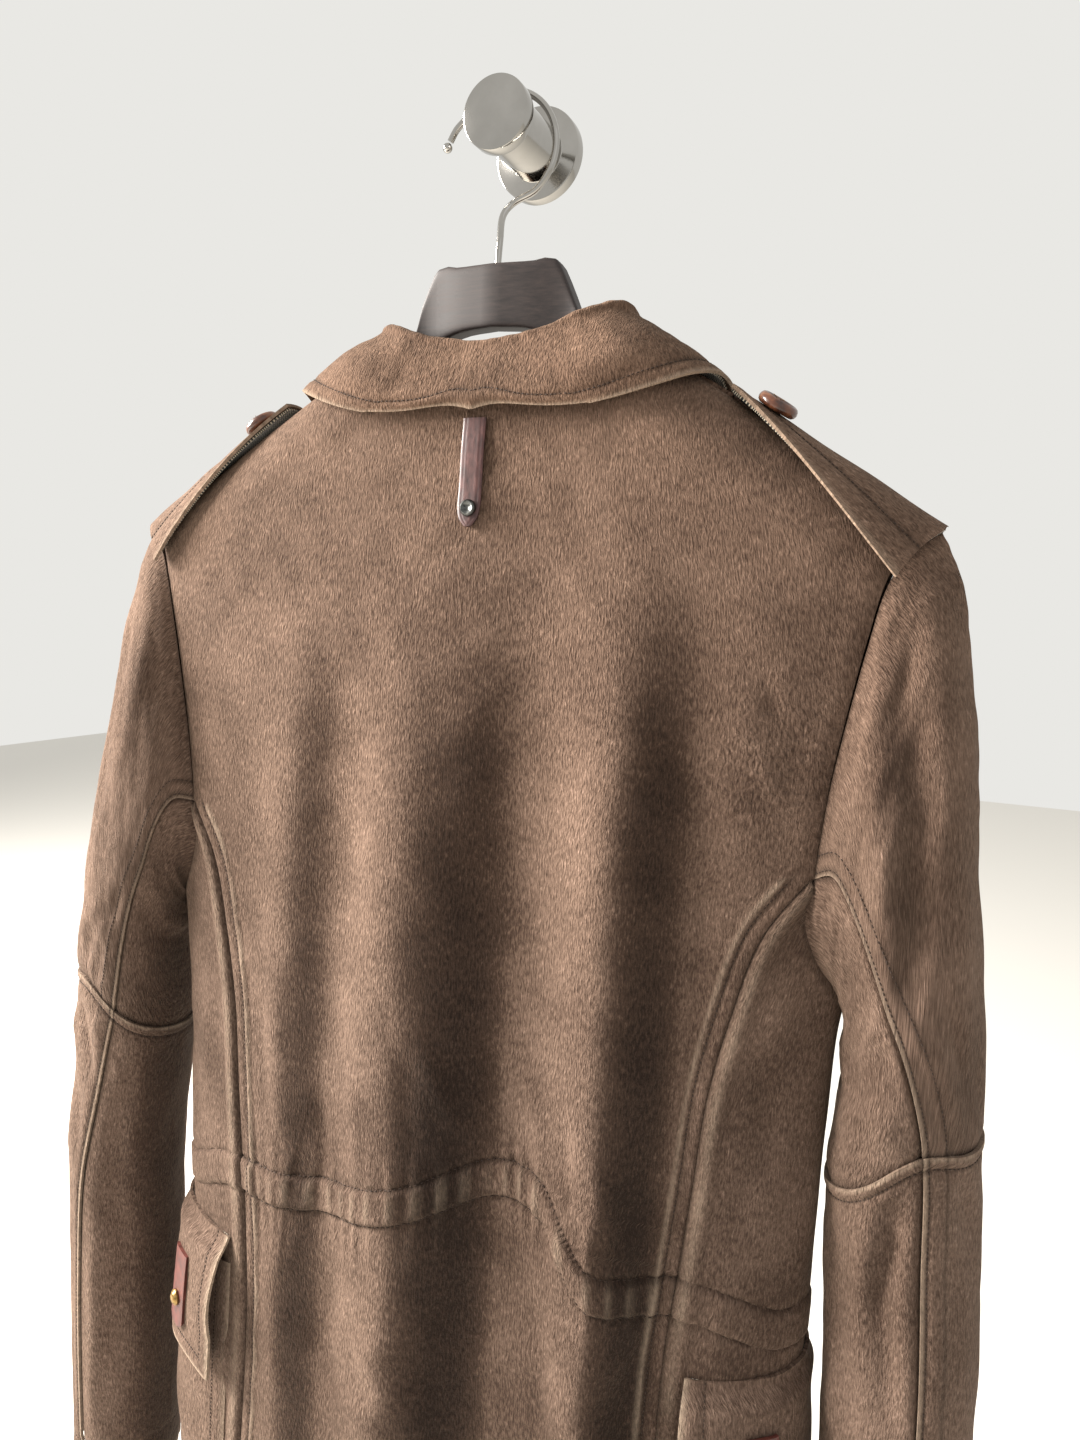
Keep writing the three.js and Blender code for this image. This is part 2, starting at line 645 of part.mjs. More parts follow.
// Direction out of the sleeve: at the armhole it joins the body's, but for the underarm.
function sleeveNormal(side, degrees, ring) {
  const surface = (tenDegrees, place) => sleevePoint(side, tenDegrees * 10, place);
  const turn = degToRad(degrees);
  const upright = ring < ELBOW_RING ? 1 - ring / ELBOW_RING : 0;
  const away = new THREE.Vector3(
    side * cos(turn) * (1 - 0.4 * upright), -sin(turn), upright * max(cos(turn), 0));
  const own = outward(surface, degrees / 10, max(ring, STEADY_RING), away, 0.05);
  const joined = 1 - smoothstep(abs(degrees), 100, 140);
  if (ring > 0 || joined === 0) return own;
  return own.lerp(armholeNormal(side, degrees), joined).normalize();
}

const UPPER_RINGS = [0, 0.5, 1.2, 2, 3, 4, 5, ELBOW_RING];
const LIP = 0.14; // raised top edge of the lower sleeve, as a share of a ring
const LOWER_RINGS = [ELBOW_RING, ELBOW_RING + LIP, ELBOW_RING + LIP * 1.4, 7, 8, 9, 10, CUFF_RING];
const LIP_RISE = 1.3;
const SLEEVE_SEAM_GAP = 0.4;

// The two pieces of one sleeve, above or below the elbow seam.
function sleevePieces(name, side, part, rings, lift) {
  const pieces = [
    ['outer', () => INNER_SEAM_TURN - 360, SLEEVE_SEAM[name], 18],
    ['under', () => INNER_SEAM_TURN, SLEEVE_SEAM[name], 6],
  ];
  pieces.forEach(([piece, from, to, steps]) => {
    const places = rings.map((ring) => Array.from({ length: steps + 1 }, (_, i) =>
      [side, lerp(from(ring), to(ring), i / steps), ring]));
    const points = inset(readGrid(places, sleevePoint), SLEEVE_SEAM_GAP);
    const cloth = wall(points, readGrid(places, sleeveNormal), SUEDE, lift);
    add(`sleeve_${part}_${piece}_${name}`, cloth, 'suede');
  });
}

function sleeve(name, side) {
  sleevePieces(name, side, 'upper', UPPER_RINGS, () => 0);
  sleevePieces(name, side, 'lower', LOWER_RINGS, (j) => (j < 2 ? LIP_RISE : 0));
}

// Collar

const COLLAR_OFF = ON_TOP + 3.6;
const STAND_INSIDE = 3.9; // the stand's inner face, inside the neck seam
// Places of the rows along the folded section, as steps between its eight points.
const COLLAR_ROWS = [0, 0.5, 1, 1.5, 2, 3, 4, 5, 6, 6.5, 7].map((step) => step / 7);
const COLLAR_FALL_ROWS = 4; // the rows from its edge to below the fold

// The top of the fold at one place round the neck.
function foldPoint(degrees) {
  const turn = abs(degrees);
  const x = (degrees < 0 ? -1 : 1) * COLLAR.foldX(turn);
  return new THREE.Vector3(x, COLLAR.foldY(turn), COLLAR.foldZ(turn) + FOLD_TILT * x);
}

// The folded section of the collar at one place round the neck, from its edge over the
// fold and down to the neck seam.
function collarSection(degrees) {
  const side = degrees < 0 ? -1 : 1;
  const turn = abs(degrees);
  const angle = degToRad(turn);
  const fold = foldPoint(degrees);
  const path = foldPoint(degrees + 2).sub(foldPoint(degrees - 2));
  const radial = path.cross(UPWARD).normalize();
  if (radial.dot(new THREE.Vector3(fold.x, fold.y, 0)) < 0) radial.negate();
  const edge = offShoulder(side * COLLAR.edgeX(turn), COLLAR.edgeDown(turn), COLLAR_OFF);
  const neckX = side * NECK_HALF * sin(angle);
  const neckDown = turn < 90 ? -NECK_BACK * cos(angle) ** 1.6 : NECK_FRONT * abs(cos(angle)) ** 1.4;
  const neck = overShoulder(neckX, neckDown);
  neck.addScaledVector(new THREE.Vector3(neck.x, neck.y, 0).normalize(), -STAND_INSIDE);
  const middle = offShoulder(
    lerp(neckX, side * COLLAR.edgeX(turn), 0.35), lerp(neckDown, COLLAR.edgeDown(turn), 0.35),
    COLLAR_OFF + 2);
  const arc = [0, 45, 90, 135, 180].map((bend) => fold.clone()
    .addScaledVector(radial, FOLD_HALF * cos(degToRad(bend)))
    .addScaledVector(UPWARD, FOLD_HALF * (sin(degToRad(bend)) - 1)));
  const seam = neck.add(arc[4].clone().sub(neck).setLength(1.2));
  return new THREE.CatmullRomCurve3([edge, middle, ...arc, seam], false, 'centripetal');
}

function collarGrid() {
  const half = [...NECK_TURNS, ...NECK_TURNS.slice(1, -1).reverse().map((turn) => 180 - turn)];
  const turns = [...half.slice(1).reverse().map((turn) => -turn), ...half];
  const sections = turns.map(collarSection);
  return COLLAR_ROWS.map((place) => sections.map((section) => section.getPoint(place)));
}

// A suede layer and the wool layer just under it, on one grid of points. The wool may
// take only the first rows.
function lined(name, underName, grid, away, woolRows = grid.length) {
  const normals = gridNormals(grid, away);
  const under = grid.slice(0, woolRows).map((row, j) => row.map((point, i) =>
    point.clone().addScaledVector(normals[j][i], -SUEDE - 0.3)));
  add(name, wall(grid, normals, SUEDE), 'suede');
  add(underName, wall(under, normals, WOOL), 'wool');
}

function collar() {
  const grid = collarGrid();
  lined('collar', 'under_collar', grid, new THREE.Vector3(0, -0.7, 0.7), COLLAR_FALL_ROWS);
}

// Epaulettes

const EPAULETTE = {
  innerX: 121.5, innerBack: -14, innerFront: 22, backTurn: 37, frontTurn: -31, lifted: 3,
};
const EPAULETTE_OFF = ON_TOP + 0.5;
const EPAULETTE_BUTTON = { x: 141, down: -5 };

// A point of an epaulette: along runs from the collar to the sleeve, across from the back
// edge to the front edge.
function epaulettePlace(side, along, across) {
  const turn = lerp(EPAULETTE.backTurn, EPAULETTE.frontTurn, across);
  const end = armholePoint(1, turn);
  const endDown = downTo(end.x, end.z) * -sign(turn);
  const x = lerp(EPAULETTE.innerX, end.x, along);
  const down = lerp(lerp(EPAULETTE.innerBack, EPAULETTE.innerFront, across), endDown, along);
  const lift = EPAULETTE.lifted * (1 - across) ** 3;
  return offShoulder(side * x, down, EPAULETTE_OFF + lift);
}

function epaulette(name, side) {
  const alongSteps = 6;
  const acrossSteps = 6;
  const grid = Array.from({ length: acrossSteps + 1 }, (_, j) =>
    Array.from({ length: alongSteps + 1 }, (_, i) =>
      epaulettePlace(side, i / alongSteps, j / acrossSteps)));
  lined(`epaulette_${name}`, `epaulette_under_${name}`, inset(grid), UPWARD);
  const { x, down } = EPAULETTE_BUTTON;
  const normal = outward(overShoulder, side * x, down, UPWARD);
  button(`epaulette_button_${name}`, offShoulder(side * x, down, EPAULETTE_OFF + 1.5), normal);
}

// Hang loop at the neck

const LOOP = { topZ: -158, tipZ: -212, half: 6.2, rivetZ: -203 };
const LOOP_OFF = SEAM + LEATHER;
function hangLoop() {
  const shares = [0, 0.3, 0.62, 0.82, 0.93, 1];
  const halves = [1, 1, 1, 1, 0.78, 0.3];
  const grid = shares.map((share, j) => [-1, 0, 1].map((across) =>
    offShoulder(across * LOOP.half * halves[j], -downTo(0, lerp(LOOP.topZ, LOOP.tipZ, share)), LOOP_OFF)));
  add('hang_loop', wall(grid, gridNormals(grid, BACKWARD), LEATHER), 'leather');
  const down = -downTo(0, LOOP.rivetZ);
  const seat = offShoulder(0, down, LOOP_OFF + 0.3);
  stud('hang_loop_rivet', 4.3, 2.2, seat, outward(overShoulder, 0, down, BACKWARD), 'rivet');
}

// Pockets

const POCKET = {
  backTurn: 44, frontTurn: 122, flapTopZ: -623, flapRise: 12, flapHeight: 84,
  bagTopZ: -640, bagBottomZ: -806, bulge: 10,
};

// How far the bag's outer face stands off the body: full toward the back and the front,
// flat at the side where the sleeve hangs.
function bagOff(degrees, z) {
  const across = clamp((degrees - POCKET.backTurn) / (POCKET.frontTurn - POCKET.backTurn), 0, 1);
  const down = clamp((POCKET.bagTopZ - z) / (POCKET.bagTopZ - POCKET.bagBottomZ), 0, 1);
  const flatSide = 1 - 0.85 * exp(-(((degrees - 90) / 17) ** 2));
  const belly = sin(PI * across) ** 0.7 * sin(PI * (0.18 + 0.82 * down)) ** 0.7;
  return 0.7 + SUEDE + POCKET.bulge * flatSide * belly;
}

const flapTop = (degrees) =>
  POCKET.flapTopZ + POCKET.flapRise * smoothstep(degrees, POCKET.backTurn, POCKET.frontTurn);

// How far the flap's outer face stands off the body; its back edge lifts away.
function flapOff(degrees, down) {
  const z = flapTop(degrees) - down * POCKET.flapHeight;
  const lifted = 5 * max(1 - (degrees - POCKET.backTurn) / 16, 0) ** 2 * sin(PI * min(down, 0.7));
  const below = smoothstep(down, 0.02, 0.15);
  return ON_TOP + 0.3 + below * bagOff(degrees, z) + lifted;
}

function pocket(name, side) {
  const away = new THREE.Vector3(side, 0, 0);
  const spread = (steps) => Array.from({ length: steps + 1 }, (_, i) => i / steps);
  const turns = spread(10).map((share) => lerp(POCKET.backTurn, POCKET.frontTurn, share));
  const bag = spread(7).map((share) => {
    const z = lerp(POCKET.bagBottomZ, POCKET.bagTopZ, share);
    return turns.map((turn) => offRing(side, degToRad(turn), z, bagOff(turn, z)));
  });
  add(`pocket_${name}`, wall(bag, gridNormals(bag, away), SUEDE), 'suede');

  const flapPoint = (turn, down, off) =>
    offRing(side, degToRad(turn), flapTop(turn) - down * POCKET.flapHeight, off);
  const flap = [1, 0.92, 0.66, 0.36, 0.16, 0].map((down) => turns.map((turn) =>
    flapPoint(turn, down, flapOff(turn, down))));
  lined(`pocket_flap_${name}`, `pocket_flap_under_${name}`, flap, away);

  const tab = [0.84, 0.74, 0.5, 0.28].map((down, j) => [-1, 0, 1].map((across) => {
    const turn = 63 + across * (j === 0 ? 3 : 4.6);
    return flapPoint(turn, down, flapOff(turn, down) + SEAM + LEATHER);
  }));
  const tabAway = new THREE.Vector3(side, -1, 0);
  add(`pocket_tab_${name}`, wall(tab, gridNormals(tab, tabAway), LEATHER), 'tab');
  const surface = (turn, down) => flapPoint(turn, down / 100, flapOff(turn, down / 100) + SEAM + LEATHER);
  const normal = outward(surface, 63, 64, tabAway);
  stud(`pocket_snap_${name}`, 4.6, 3, surface(63, 64).addScaledVector(normal, 0.3), normal, 'snap');
}

// Hanger

const HANGER_X = -6; // the hanger's middle
const HANGER_TOP = -73.6;
// From the shoulder line down to the arm's top, which passes below the neck seam.
const ARM_CLEAR = table(['x', 'z'], [
  [45, 0], [51, 4], [58, 10.5], [72, 10], [84, 6.5], [98, 4.2], [120, 3.4], [220, 3.7],
]);
// By the way out from the middle: top, bottom, half thickness, y of the middle, corners.
const HANGER = table(['out', 'top', 'bottom', 'half', 'y', 'square'], [
  [0, HANGER_TOP, -106, 6.5, -10, 8],
  [20, HANGER_TOP, -107.5, 6.5, -8, 8],
  [34, HANGER_TOP, -113, 6.5, -6, 8],
  [42.5, -90, -121, 6.5, -5.6, 8],
  [51, -107, -128, 6.5, -7, 6],
  [62, -107, -136, 7, -11, 3],
]);
const ARM_ENDS = [62, 80, 105, 130, 155, 178, 194, 202];
const ARM_DEPTH = table(['out', 'deep', 'half'], [
  [62, 19, 7], [105, 21, 8], [155, 23, 9], [194, 20, 9], [202, 12, 6],
]);

function hangerRing(out, side) {
  const x = HANGER_X + side * out;
  const arm = out > 62;
  const reach = smoothstep(out, 45, 62);
  const end = out > 200 ? 3 : 0;
  const under = ridgeZ(x) - ARM_CLEAR.z(abs(x)) - end;
  const own = arm ? under : HANGER.top(out);
  const top = out > 45 ? min(own, under) : own;
  const bottom = arm ? top - ARM_DEPTH.deep(out) : HANGER.bottom(out);
  const half = arm ? ARM_DEPTH.half(out) : HANGER.half(out);
  const y = lerp(HANGER.y(out), ridgeY(x), reach);
  const power = 2 / lerp(HANGER.square(out), 2, reach);
  const count = 12;
  return Array.from({ length: count }, (_, i) => {
    const turn = (2 * PI * (i + 0.5)) / count;
    const flat = (value) => sign(value) * abs(value) ** power;
    return new THREE.Vector3(
      x,
      y + half * flat(cos(turn)),
      (top + bottom) / 2 + ((top - bottom) / 2) * flat(sin(turn)),
    );
  });
}

function hanger() {
  const half = [0, 20, 34, 42.5, 51, ...ARM_ENDS];
  const rings = [
    ...half.slice(1).reverse().map((out) => hangerRing(out, -1)),
    ...half.map((out) => hangerRing(out, 1)),
  ];
  add('hanger', loft(rings), 'wood');
}

const WIRE_RADIUS = 1.8;
const HOOK = { x: -8, z: -11.7, radius: 29, y: 0 };
function hook() {
  const points = [
    new THREE.Vector3(HANGER_X, -9, HANGER_TOP + 0.4),
    new THREE.Vector3(HANGER_X, -7, -60),
    new THREE.Vector3(HANGER_X, -3.5, -46),
    new THREE.Vector3(HANGER_X + 4.5, -1, -39.6),
  ];
  for (let turn = -52; turn <= 140; turn += 16) {
    const angle = degToRad(turn);
    points.push(new THREE.Vector3(
      HOOK.x + HOOK.radius * cos(angle), HOOK.y, HOOK.z + HOOK.radius * sin(angle)));
  }
  points.push(new THREE.Vector3(-36.5, HOOK.y, 1.5));
  points.push(new THREE.Vector3(-40, HOOK.y, -4));
  const path = new THREE.CatmullRomCurve3(points, false, 'centripetal');
  const section = new THREE.Shape().absarc(0, 0, WIRE_RADIUS, 0, 2 * PI, false);
  const wire = new THREE.ExtrudeGeometry(section, { steps: 38, curveSegments: 4, extrudePath: path });
  add('hanger_hook', wire, 'chrome');
  const ball = new THREE.SphereGeometry(2.6, 12, 8);
  add('hook_ball', ball, 'chrome').position.set(-41.6, HOOK.y, -6.9);
}

// Wall peg, turned about the line that goes into the wall

const PEG = { flange: 25, flangeThick: 7, neck: 15, cap: 18.5, capThick: 8, length: 58 };
function wallPeg() {
  const bevel = 0.8;
  const profile = [
    [0, 0], [PEG.flange, 0], [PEG.flange, PEG.flangeThick - bevel],
    [PEG.flange - bevel, PEG.flangeThick], [PEG.neck, PEG.flangeThick],
    [PEG.neck, PEG.length - PEG.capThick], [PEG.cap, PEG.length - PEG.capThick],
    [PEG.cap, PEG.length - bevel], [PEG.cap - bevel, PEG.length], [0, PEG.length],
  ];
  turned('wall_peg', profile, new THREE.Vector3(), BACKWARD, 30, 'chrome', object);
}

// Assembly

backPanel();
SIDES.forEach(([name, side]) => sidePanel(name, side));
SIDES.forEach(([name, side]) => frontPanel(name, side));
placket();
SIDES.forEach(([name, side]) => sleeve(name, side));
collar();
SIDES.forEach(([name, side]) => epaulette(name, side));
hangLoop();
SIDES.forEach(([name, side]) => pocket(name, side));
hanger();
hook();
wallPeg();

export default object;
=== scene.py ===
# %% [markdown]
# # A suede jacket on a hanger and a wall peg
#
# The jacket hangs with its back to the room. Its CAD solids give each cut piece its
# place and size. Here every piece gets its looks: thin cloth shells with soft creases,
# rows of sewing, and materials made of nodes. All sizes are real ones, in millimetres.

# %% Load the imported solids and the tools
import math
import random
from types import SimpleNamespace

import bmesh
import bpy
import numpy as np
from mathutils import Matrix, Vector


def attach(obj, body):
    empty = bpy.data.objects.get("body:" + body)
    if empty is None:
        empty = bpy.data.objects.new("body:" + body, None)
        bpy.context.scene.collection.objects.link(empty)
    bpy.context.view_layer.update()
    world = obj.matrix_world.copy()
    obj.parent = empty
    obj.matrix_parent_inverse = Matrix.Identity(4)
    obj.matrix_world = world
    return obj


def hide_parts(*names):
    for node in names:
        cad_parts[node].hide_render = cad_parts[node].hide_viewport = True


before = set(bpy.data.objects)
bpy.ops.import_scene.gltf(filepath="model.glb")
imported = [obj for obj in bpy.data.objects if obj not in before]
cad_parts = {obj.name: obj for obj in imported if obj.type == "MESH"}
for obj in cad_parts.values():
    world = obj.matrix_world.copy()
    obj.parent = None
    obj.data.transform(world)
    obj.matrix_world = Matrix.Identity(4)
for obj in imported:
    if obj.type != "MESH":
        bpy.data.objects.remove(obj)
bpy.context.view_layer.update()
print(len(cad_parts), "solids in the frame")

# %% [markdown]
# ## From the jacket's own millimetres to the room's metres
#
# The jacket, hanger and hook are worked out in the hook's own frame, as in the CAD. One
# turn about the upright and one shift put them in the room, where the wall is y = 0.

# %% Place in the room
MM = 0.001
HOOK_TURN = math.radians(3.6)
HOOK_FROM_WALL, HOOK_ASIDE = 41.6, 6


def to_room(points):
    """Jacket millimetres to room metres, for an array of points."""
    p = np.asarray(points, float)
    c, s = math.cos(HOOK_TURN), math.sin(HOOK_TURN)
    x = c * (p[..., 0] + HOOK_ASIDE) - s * p[..., 1]
    y = s * (p[..., 0] + HOOK_ASIDE) + c * p[..., 1] - HOOK_FROM_WALL
    return np.stack((x, y, p[..., 2]), -1) * MM


def turned_to_room(directions):
    """A direction of the jacket's frame, turned into the room's."""
    d = np.asarray(directions, float)
    c, s = math.cos(HOOK_TURN), math.sin(HOOK_TURN)
    return np.stack((c * d[..., 0] - s * d[..., 1], s * d[..., 0] + c * d[..., 1], d[..., 2]), -1)


print("the jacket's middle hangs at", to_room([0, 0, 0]).round(4))

# %% [markdown]
# ## Camera, floor and light
#
# The photo was taken from a little right of the middle and close by, so the lens sees
# the jacket from the chest to above the peg. A big soft window light from the left makes
# the nap glow on every slope that turns left, and leaves the right slopes dark.

# %% Camera at the photo's angle
CAMERA_AT = Vector((0.2573, -0.5372, -0.2497))
YAW, PITCH, ROLL = (math.radians(a) for a in (24.61, -6.55, 2.05))

look = Vector((-math.sin(YAW) * math.cos(PITCH), math.cos(YAW) * math.cos(PITCH), math.sin(PITCH)))
right = Vector((math.cos(YAW), math.sin(YAW), 0))
up = right.cross(look)
rolled_right = math.cos(ROLL) * right + math.sin(ROLL) * up
rolled_up = -math.sin(ROLL) * right + math.cos(ROLL) * up
lens = bpy.data.cameras.new("photo_camera")
lens.sensor_fit = "VERTICAL"
lens.sensor_height = 36
lens.lens = 25
camera = bpy.data.objects.new("photo_camera", lens)
turn = Matrix((rolled_right, rolled_up, -look)).transposed().to_4x4()
camera.matrix_world = Matrix.Translation(CAMERA_AT) @ turn
bpy.context.scene.collection.objects.link(camera)
bpy.context.scene.camera = camera
print("camera at", tuple(round(v, 3) for v in CAMERA_AT))

# %% Colours from hex, one function for every node, and new objects


def hex_colour(text):
    """An sRGB hex colour as linear red, green, blue and alpha."""
    channels = [int(text[i:i + 2], 16) / 255 for i in (0, 2, 4)]
    linear = [c / 12.92 if c <= 0.04045 else ((c + 0.055) / 1.055) ** 2.4 for c in channels]
    return (*linear, 1)


def add_node(tree, kind, inputs=(), stops=(), **settings):
    """One node with its settings. Each input takes a value, or a socket to link from."""
    node = tree.nodes.new(kind)
    for name, value in settings.items():
        setattr(node, name, value)
    for name, value in dict(inputs).items():
        if isinstance(value, bpy.types.NodeSocket):
            tree.links.new(value, node.inputs[name])
        else:
            node.inputs[name].default_value = value
    if stops:
        elements = node.color_ramp.elements
        while len(elements) < len(stops):
            elements.new(0.5)
        for element, (place, colour) in zip(elements, stops):
            element.position = place
            element.color = hex_colour(colour)
    return node


def new_material(name):
    """An empty material with its surface shader, joined to the output."""
    material = bpy.data.materials.new(name)
    material.use_nodes = True
    tree = material.node_tree
    tree.nodes.clear()
    surface = add_node(tree, "ShaderNodeBsdfPrincipled")
    add_node(tree, "ShaderNodeOutputMaterial", {"Surface": surface.outputs["BSDF"]})
    return material, tree, surface


def add_object(name, data):
    """A new object in the scene."""
    obj = bpy.data.objects.new(name, data)
    bpy.context.scene.collection.objects.link(obj)
    return obj


def from_bmesh(name, bm, material, smooth=True, sharp=None):
    """An object from a finished bmesh, with edges over sharp degrees kept sharp."""
    mesh = bpy.data.meshes.new(name)
    bm.to_mesh(mesh)
    bm.free()
    mesh.materials.append(material)
    mesh.polygons.foreach_set("use_smooth", [smooth] * len(mesh.polygons))
    if sharp:
        mesh.set_sharp_from_angle(angle=math.radians(sharp))
    return add_object(name, mesh)


print("ochre in linear light:", [round(v, 3) for v in hex_colour("8a6b4e")])

# %% Floor, pale surroundings and lights
FLOOR_Z = -1.0
paint, tree, surface = new_material("pale_floor_paint")
surface.inputs["Base Color"].default_value = hex_colour("dcd9d3")
surface.inputs["Roughness"].default_value = 0.9
floor_bm = bmesh.new()
bmesh.ops.create_grid(floor_bm, x_segments=1, y_segments=1, size=4)
bmesh.ops.translate(floor_bm, verts=floor_bm.verts, vec=(0, 0, FLOOR_Z))
from_bmesh("floor", floor_bm, paint, smooth=False)

world = bpy.data.worlds.new("pale_room")
world.use_nodes = True
walls = world.node_tree.nodes["Background"].inputs
walls["Color"].default_value = hex_colour("e9e8e4")
walls["Strength"].default_value = 1.0
bpy.context.scene.world = world
bpy.context.scene.view_settings.view_transform = "Standard"


def soft_light(name, at, toward, size, power, colour):
    """A square soft light that looks at a point."""
    data = bpy.data.lights.new(name, "AREA")
    data.shape = "SQUARE"
    data.size = size
    data.energy = power
    data.color = hex_colour(colour)[:3]
    light = add_object(name, data)
    light.location = at
    light.rotation_euler = (Vector(toward) - Vector(at)).to_track_quat("-Z", "Y").to_euler()


soft_light("window", (-1.9, -0.62, 0.45), (0, -0.05, -0.45), 1.0, 240, "fffaf3")
soft_light("room_fill", (1.6, -1.4, 0.6), (0, 0, -0.4), 1.6, 2, "f2f4ff")
print("lights placed")

# %% [markdown]
# ## The jacket's measurements
#
# Each table row is one measured place, read as a smooth curve in between. The same
# tables shape the CAD solids, so the looks and the solids agree to a millimetre.

# %% Smooth curves through tables


def curve(places, values):
    """A smooth function through values given at rising places."""
    at, value = np.array(places, float), np.array(values, float)
    last = len(at) - 1
    before = np.maximum(np.arange(last + 1) - 1, 0)
    after = np.minimum(np.arange(last + 1) + 1, last)
    slope = (value[after] - value[before]) / (at[after] - at[before])

    def read(place):
        place = np.asarray(place, float)
        i = np.clip(np.searchsorted(at, place, side="left") - 1, 0, last - 1)
        width = at[i + 1] - at[i]
        t = np.clip((place - at[i]) / width, 0, 1)
        ease = t * t * (3 - 2 * t)
        leave = t * (1 - t) ** 2 * width * slope[i]
        arrive = t * t * (t - 1) * width * slope[i + 1]
        return value[i] + (value[i + 1] - value[i]) * ease + leave + arrive

    return read


def table(columns, rows):
    """Each later column as a smooth function of the first one."""
    names = columns.split()
    at = [row[0] for row in rows]
    return SimpleNamespace(**{
        name: curve(at, [row[k + 1] for row in rows]) for k, name in enumerate(names[1:])})


def smoothstep(value, low, high):
    t = np.clip((np.asarray(value, float) - low) / (high - low), 0, 1)
    return t * t * (3 - 2 * t)


def hump(distance, width):
    """1 at no distance, falling softly to 0."""
    return np.exp(-(np.asarray(distance, float) / width) ** 2)


def mix(a, b, share):
    return a + (b - a) * share


def run_along(points, axis):
    """The way run along each row (axis 1) or column (axis 0) of points, from its start."""
    first = np.take(points, [0], axis)
    return np.cumsum(np.linalg.norm(np.diff(points, axis=axis, prepend=first), axis=-1), axis)


BODY = table("z half side back front", [
    [-850, 197, -22, -74, 21], [-720, 189, -22, -73, 20], [-640, 185, -22, -72, 19],
    [-574, 187, -22, -70, 19], [-480, 189, -22, -66, 20], [-425, 194, -21, -63, 20],
    [-372, 200, -20, -60, 20], [-300, 214, -20, -56, 20], [-250, 228, -20, -52, 18],
    [-211, 240, -20, -48, 16], [-130, 254, -18, -40, 13]])
PRINCESS = table("z x", [
    [-850, 134], [-750, 127], [-670, 123], [-618, 124.5], [-578, 128.5], [-529, 133.5],
    [-482, 138], [-439, 147], [-401, 158.5], [-371.5, 178.5]])
FRONT_SEAM = table("z x", [
    [-850, 182], [-720, 175], [-640, 170], [-574, 171], [-520, 172], [-450, 176], [-393.7, 179]])
ARMHOLE = table("z x", [
    [-400, 178.5], [-371.5, 178.5], [-333, 182], [-302, 187], [-263, 194.5], [-233, 202],
    [-218, 213], [-211, 222]])
CASING = table("x z", [
    [-128, -572], [-95, -571], [-58, -566], [-12, -553], [30, -536], [58, -538], [72, -556],
    [86, -573], [110, -577], [128, -575]])
SLEEVE = table("ring outX outZ inX inZ back front cut", [
    [0, 222, -211, 193, -425, -50, 8, 26], [1, 231, -234, 195, -431, -54, 11, 21],
    [2, 237, -264, 196, -439, -57, 14, 15], [3, 243, -305, 197, -450, -59, 16, 9],
    [4, 248, -355, 197, -464, -60, 17, 4], [5, 254, -415, 195, -485, -60, 17, 1],
    [6, 260, -488, 192, -521, -57, 17, 0], [7, 263, -530, 193, -556, -55, 16, 0],
    [8, 267, -590, 196, -608, -56, 15, 0], [9, 269, -655, 198, -664, -57, 15, 0],
    [10, 273, -740, 202, -744, -56, 14, 0], [11, 276, -830, 207, -830, -53, 12, 0]])
LEFT_OUTWARD = table("ring shift", [
    [0, 0], [3, 0], [4, 4], [5, 8], [6, 13], [8, 18], [9, 17], [11, 12]])
CORNER_TURN, FRONT_CORNER_TURN = 120, 225
SLEEVE_SEAM = table("ring right left", [
    [0, CORNER_TURN, CORNER_TURN], [1, 112, 114], [2, 110, 114], [3, 108, 116.5], [4, 102.5, 117.5],
    [5, 90.5, 116], [6, 76, 110], [7.4, 75, 98], [8.7, 75, 82], [11, 75, 76]])
COLLAR = table("turn foldX foldY foldZ edgeX edgeDown", [
    [0, 0, -32, -117.5, 0, -101], [21, 27, -31, -113.5, 41, -85], [43, 49, -28, -106, 79, -58],
    [66, 63, -19, -100.5, 105, -27], [90, 67, -7, -101.5, 117, 8], [114, 66, 8, -110, 115, 49],
    [137, 52, 20, -141, 94, 99], [159, 27, 25, -176, 56, 150]])

TIP_HALF, TIP_Z, SHOULDER_SLOPE, NECK_SOFTNESS, ROUND = 222, -211, 0.66, 25, 46
NECK_HALF, NECK_BACK, NECK_FRONT = 72, 91, 140
UNDERARM_Z, HEM_Z, CASING_SIDE_Z, CASING_WIDTH = -425, -850, -588, 20
SUEDE, WOOL, LEATHER, SEAM = 1.8, 1.2, 2.0, 0.4
CORNER_Z, HEM_ROW_Z, EDGE_ROW = -371.5, -828, 8
SIDE_NAMES = {-1: "left", 1: "right"}
ON_TOP = SEAM + WOOL + 0.3 + SUEDE
print("half width at the hem", float(BODY.half(HEM_Z)), "mm")

# %% [markdown]
# ## The body as a surface
#
# The cloth falls from a round shoulder line. A place on it is a distance from the middle
# and a way down over the shoulder, or a turn round the body and a height.

# %% The body's surface
WIDTH_POWER, DEPTH_POWER = 2.3, 0.45

# Long soft folds: middle, half width, height outward, and where each starts and is full.
BACK_FOLDS = [(-100, 20, 4.0, -230, -380), (-68, 20, -4.0, -230, -380),
              (-26, 33, 9.2, -190, -410), (32, 27, -9.6, -190, -410), (86, 24, 9.6, -185, -380),
              (122, 17, -6.4, -200, -380)]
FRONT_FOLDS = [(84, 24, 3.4, -230, -380), (124, 18, -2.6, -230, -380),
               (-70, 28, 3.0, -230, -380), (-118, 20, -2.4, -230, -380)]


def points_of(x, y, z):
    return np.stack(np.broadcast_arrays(x, y, z), -1).astype(float)


def depth_share(share):
    return np.maximum(1 - np.minimum(np.abs(share), 1) ** WIDTH_POWER, 0) ** DEPTH_POWER


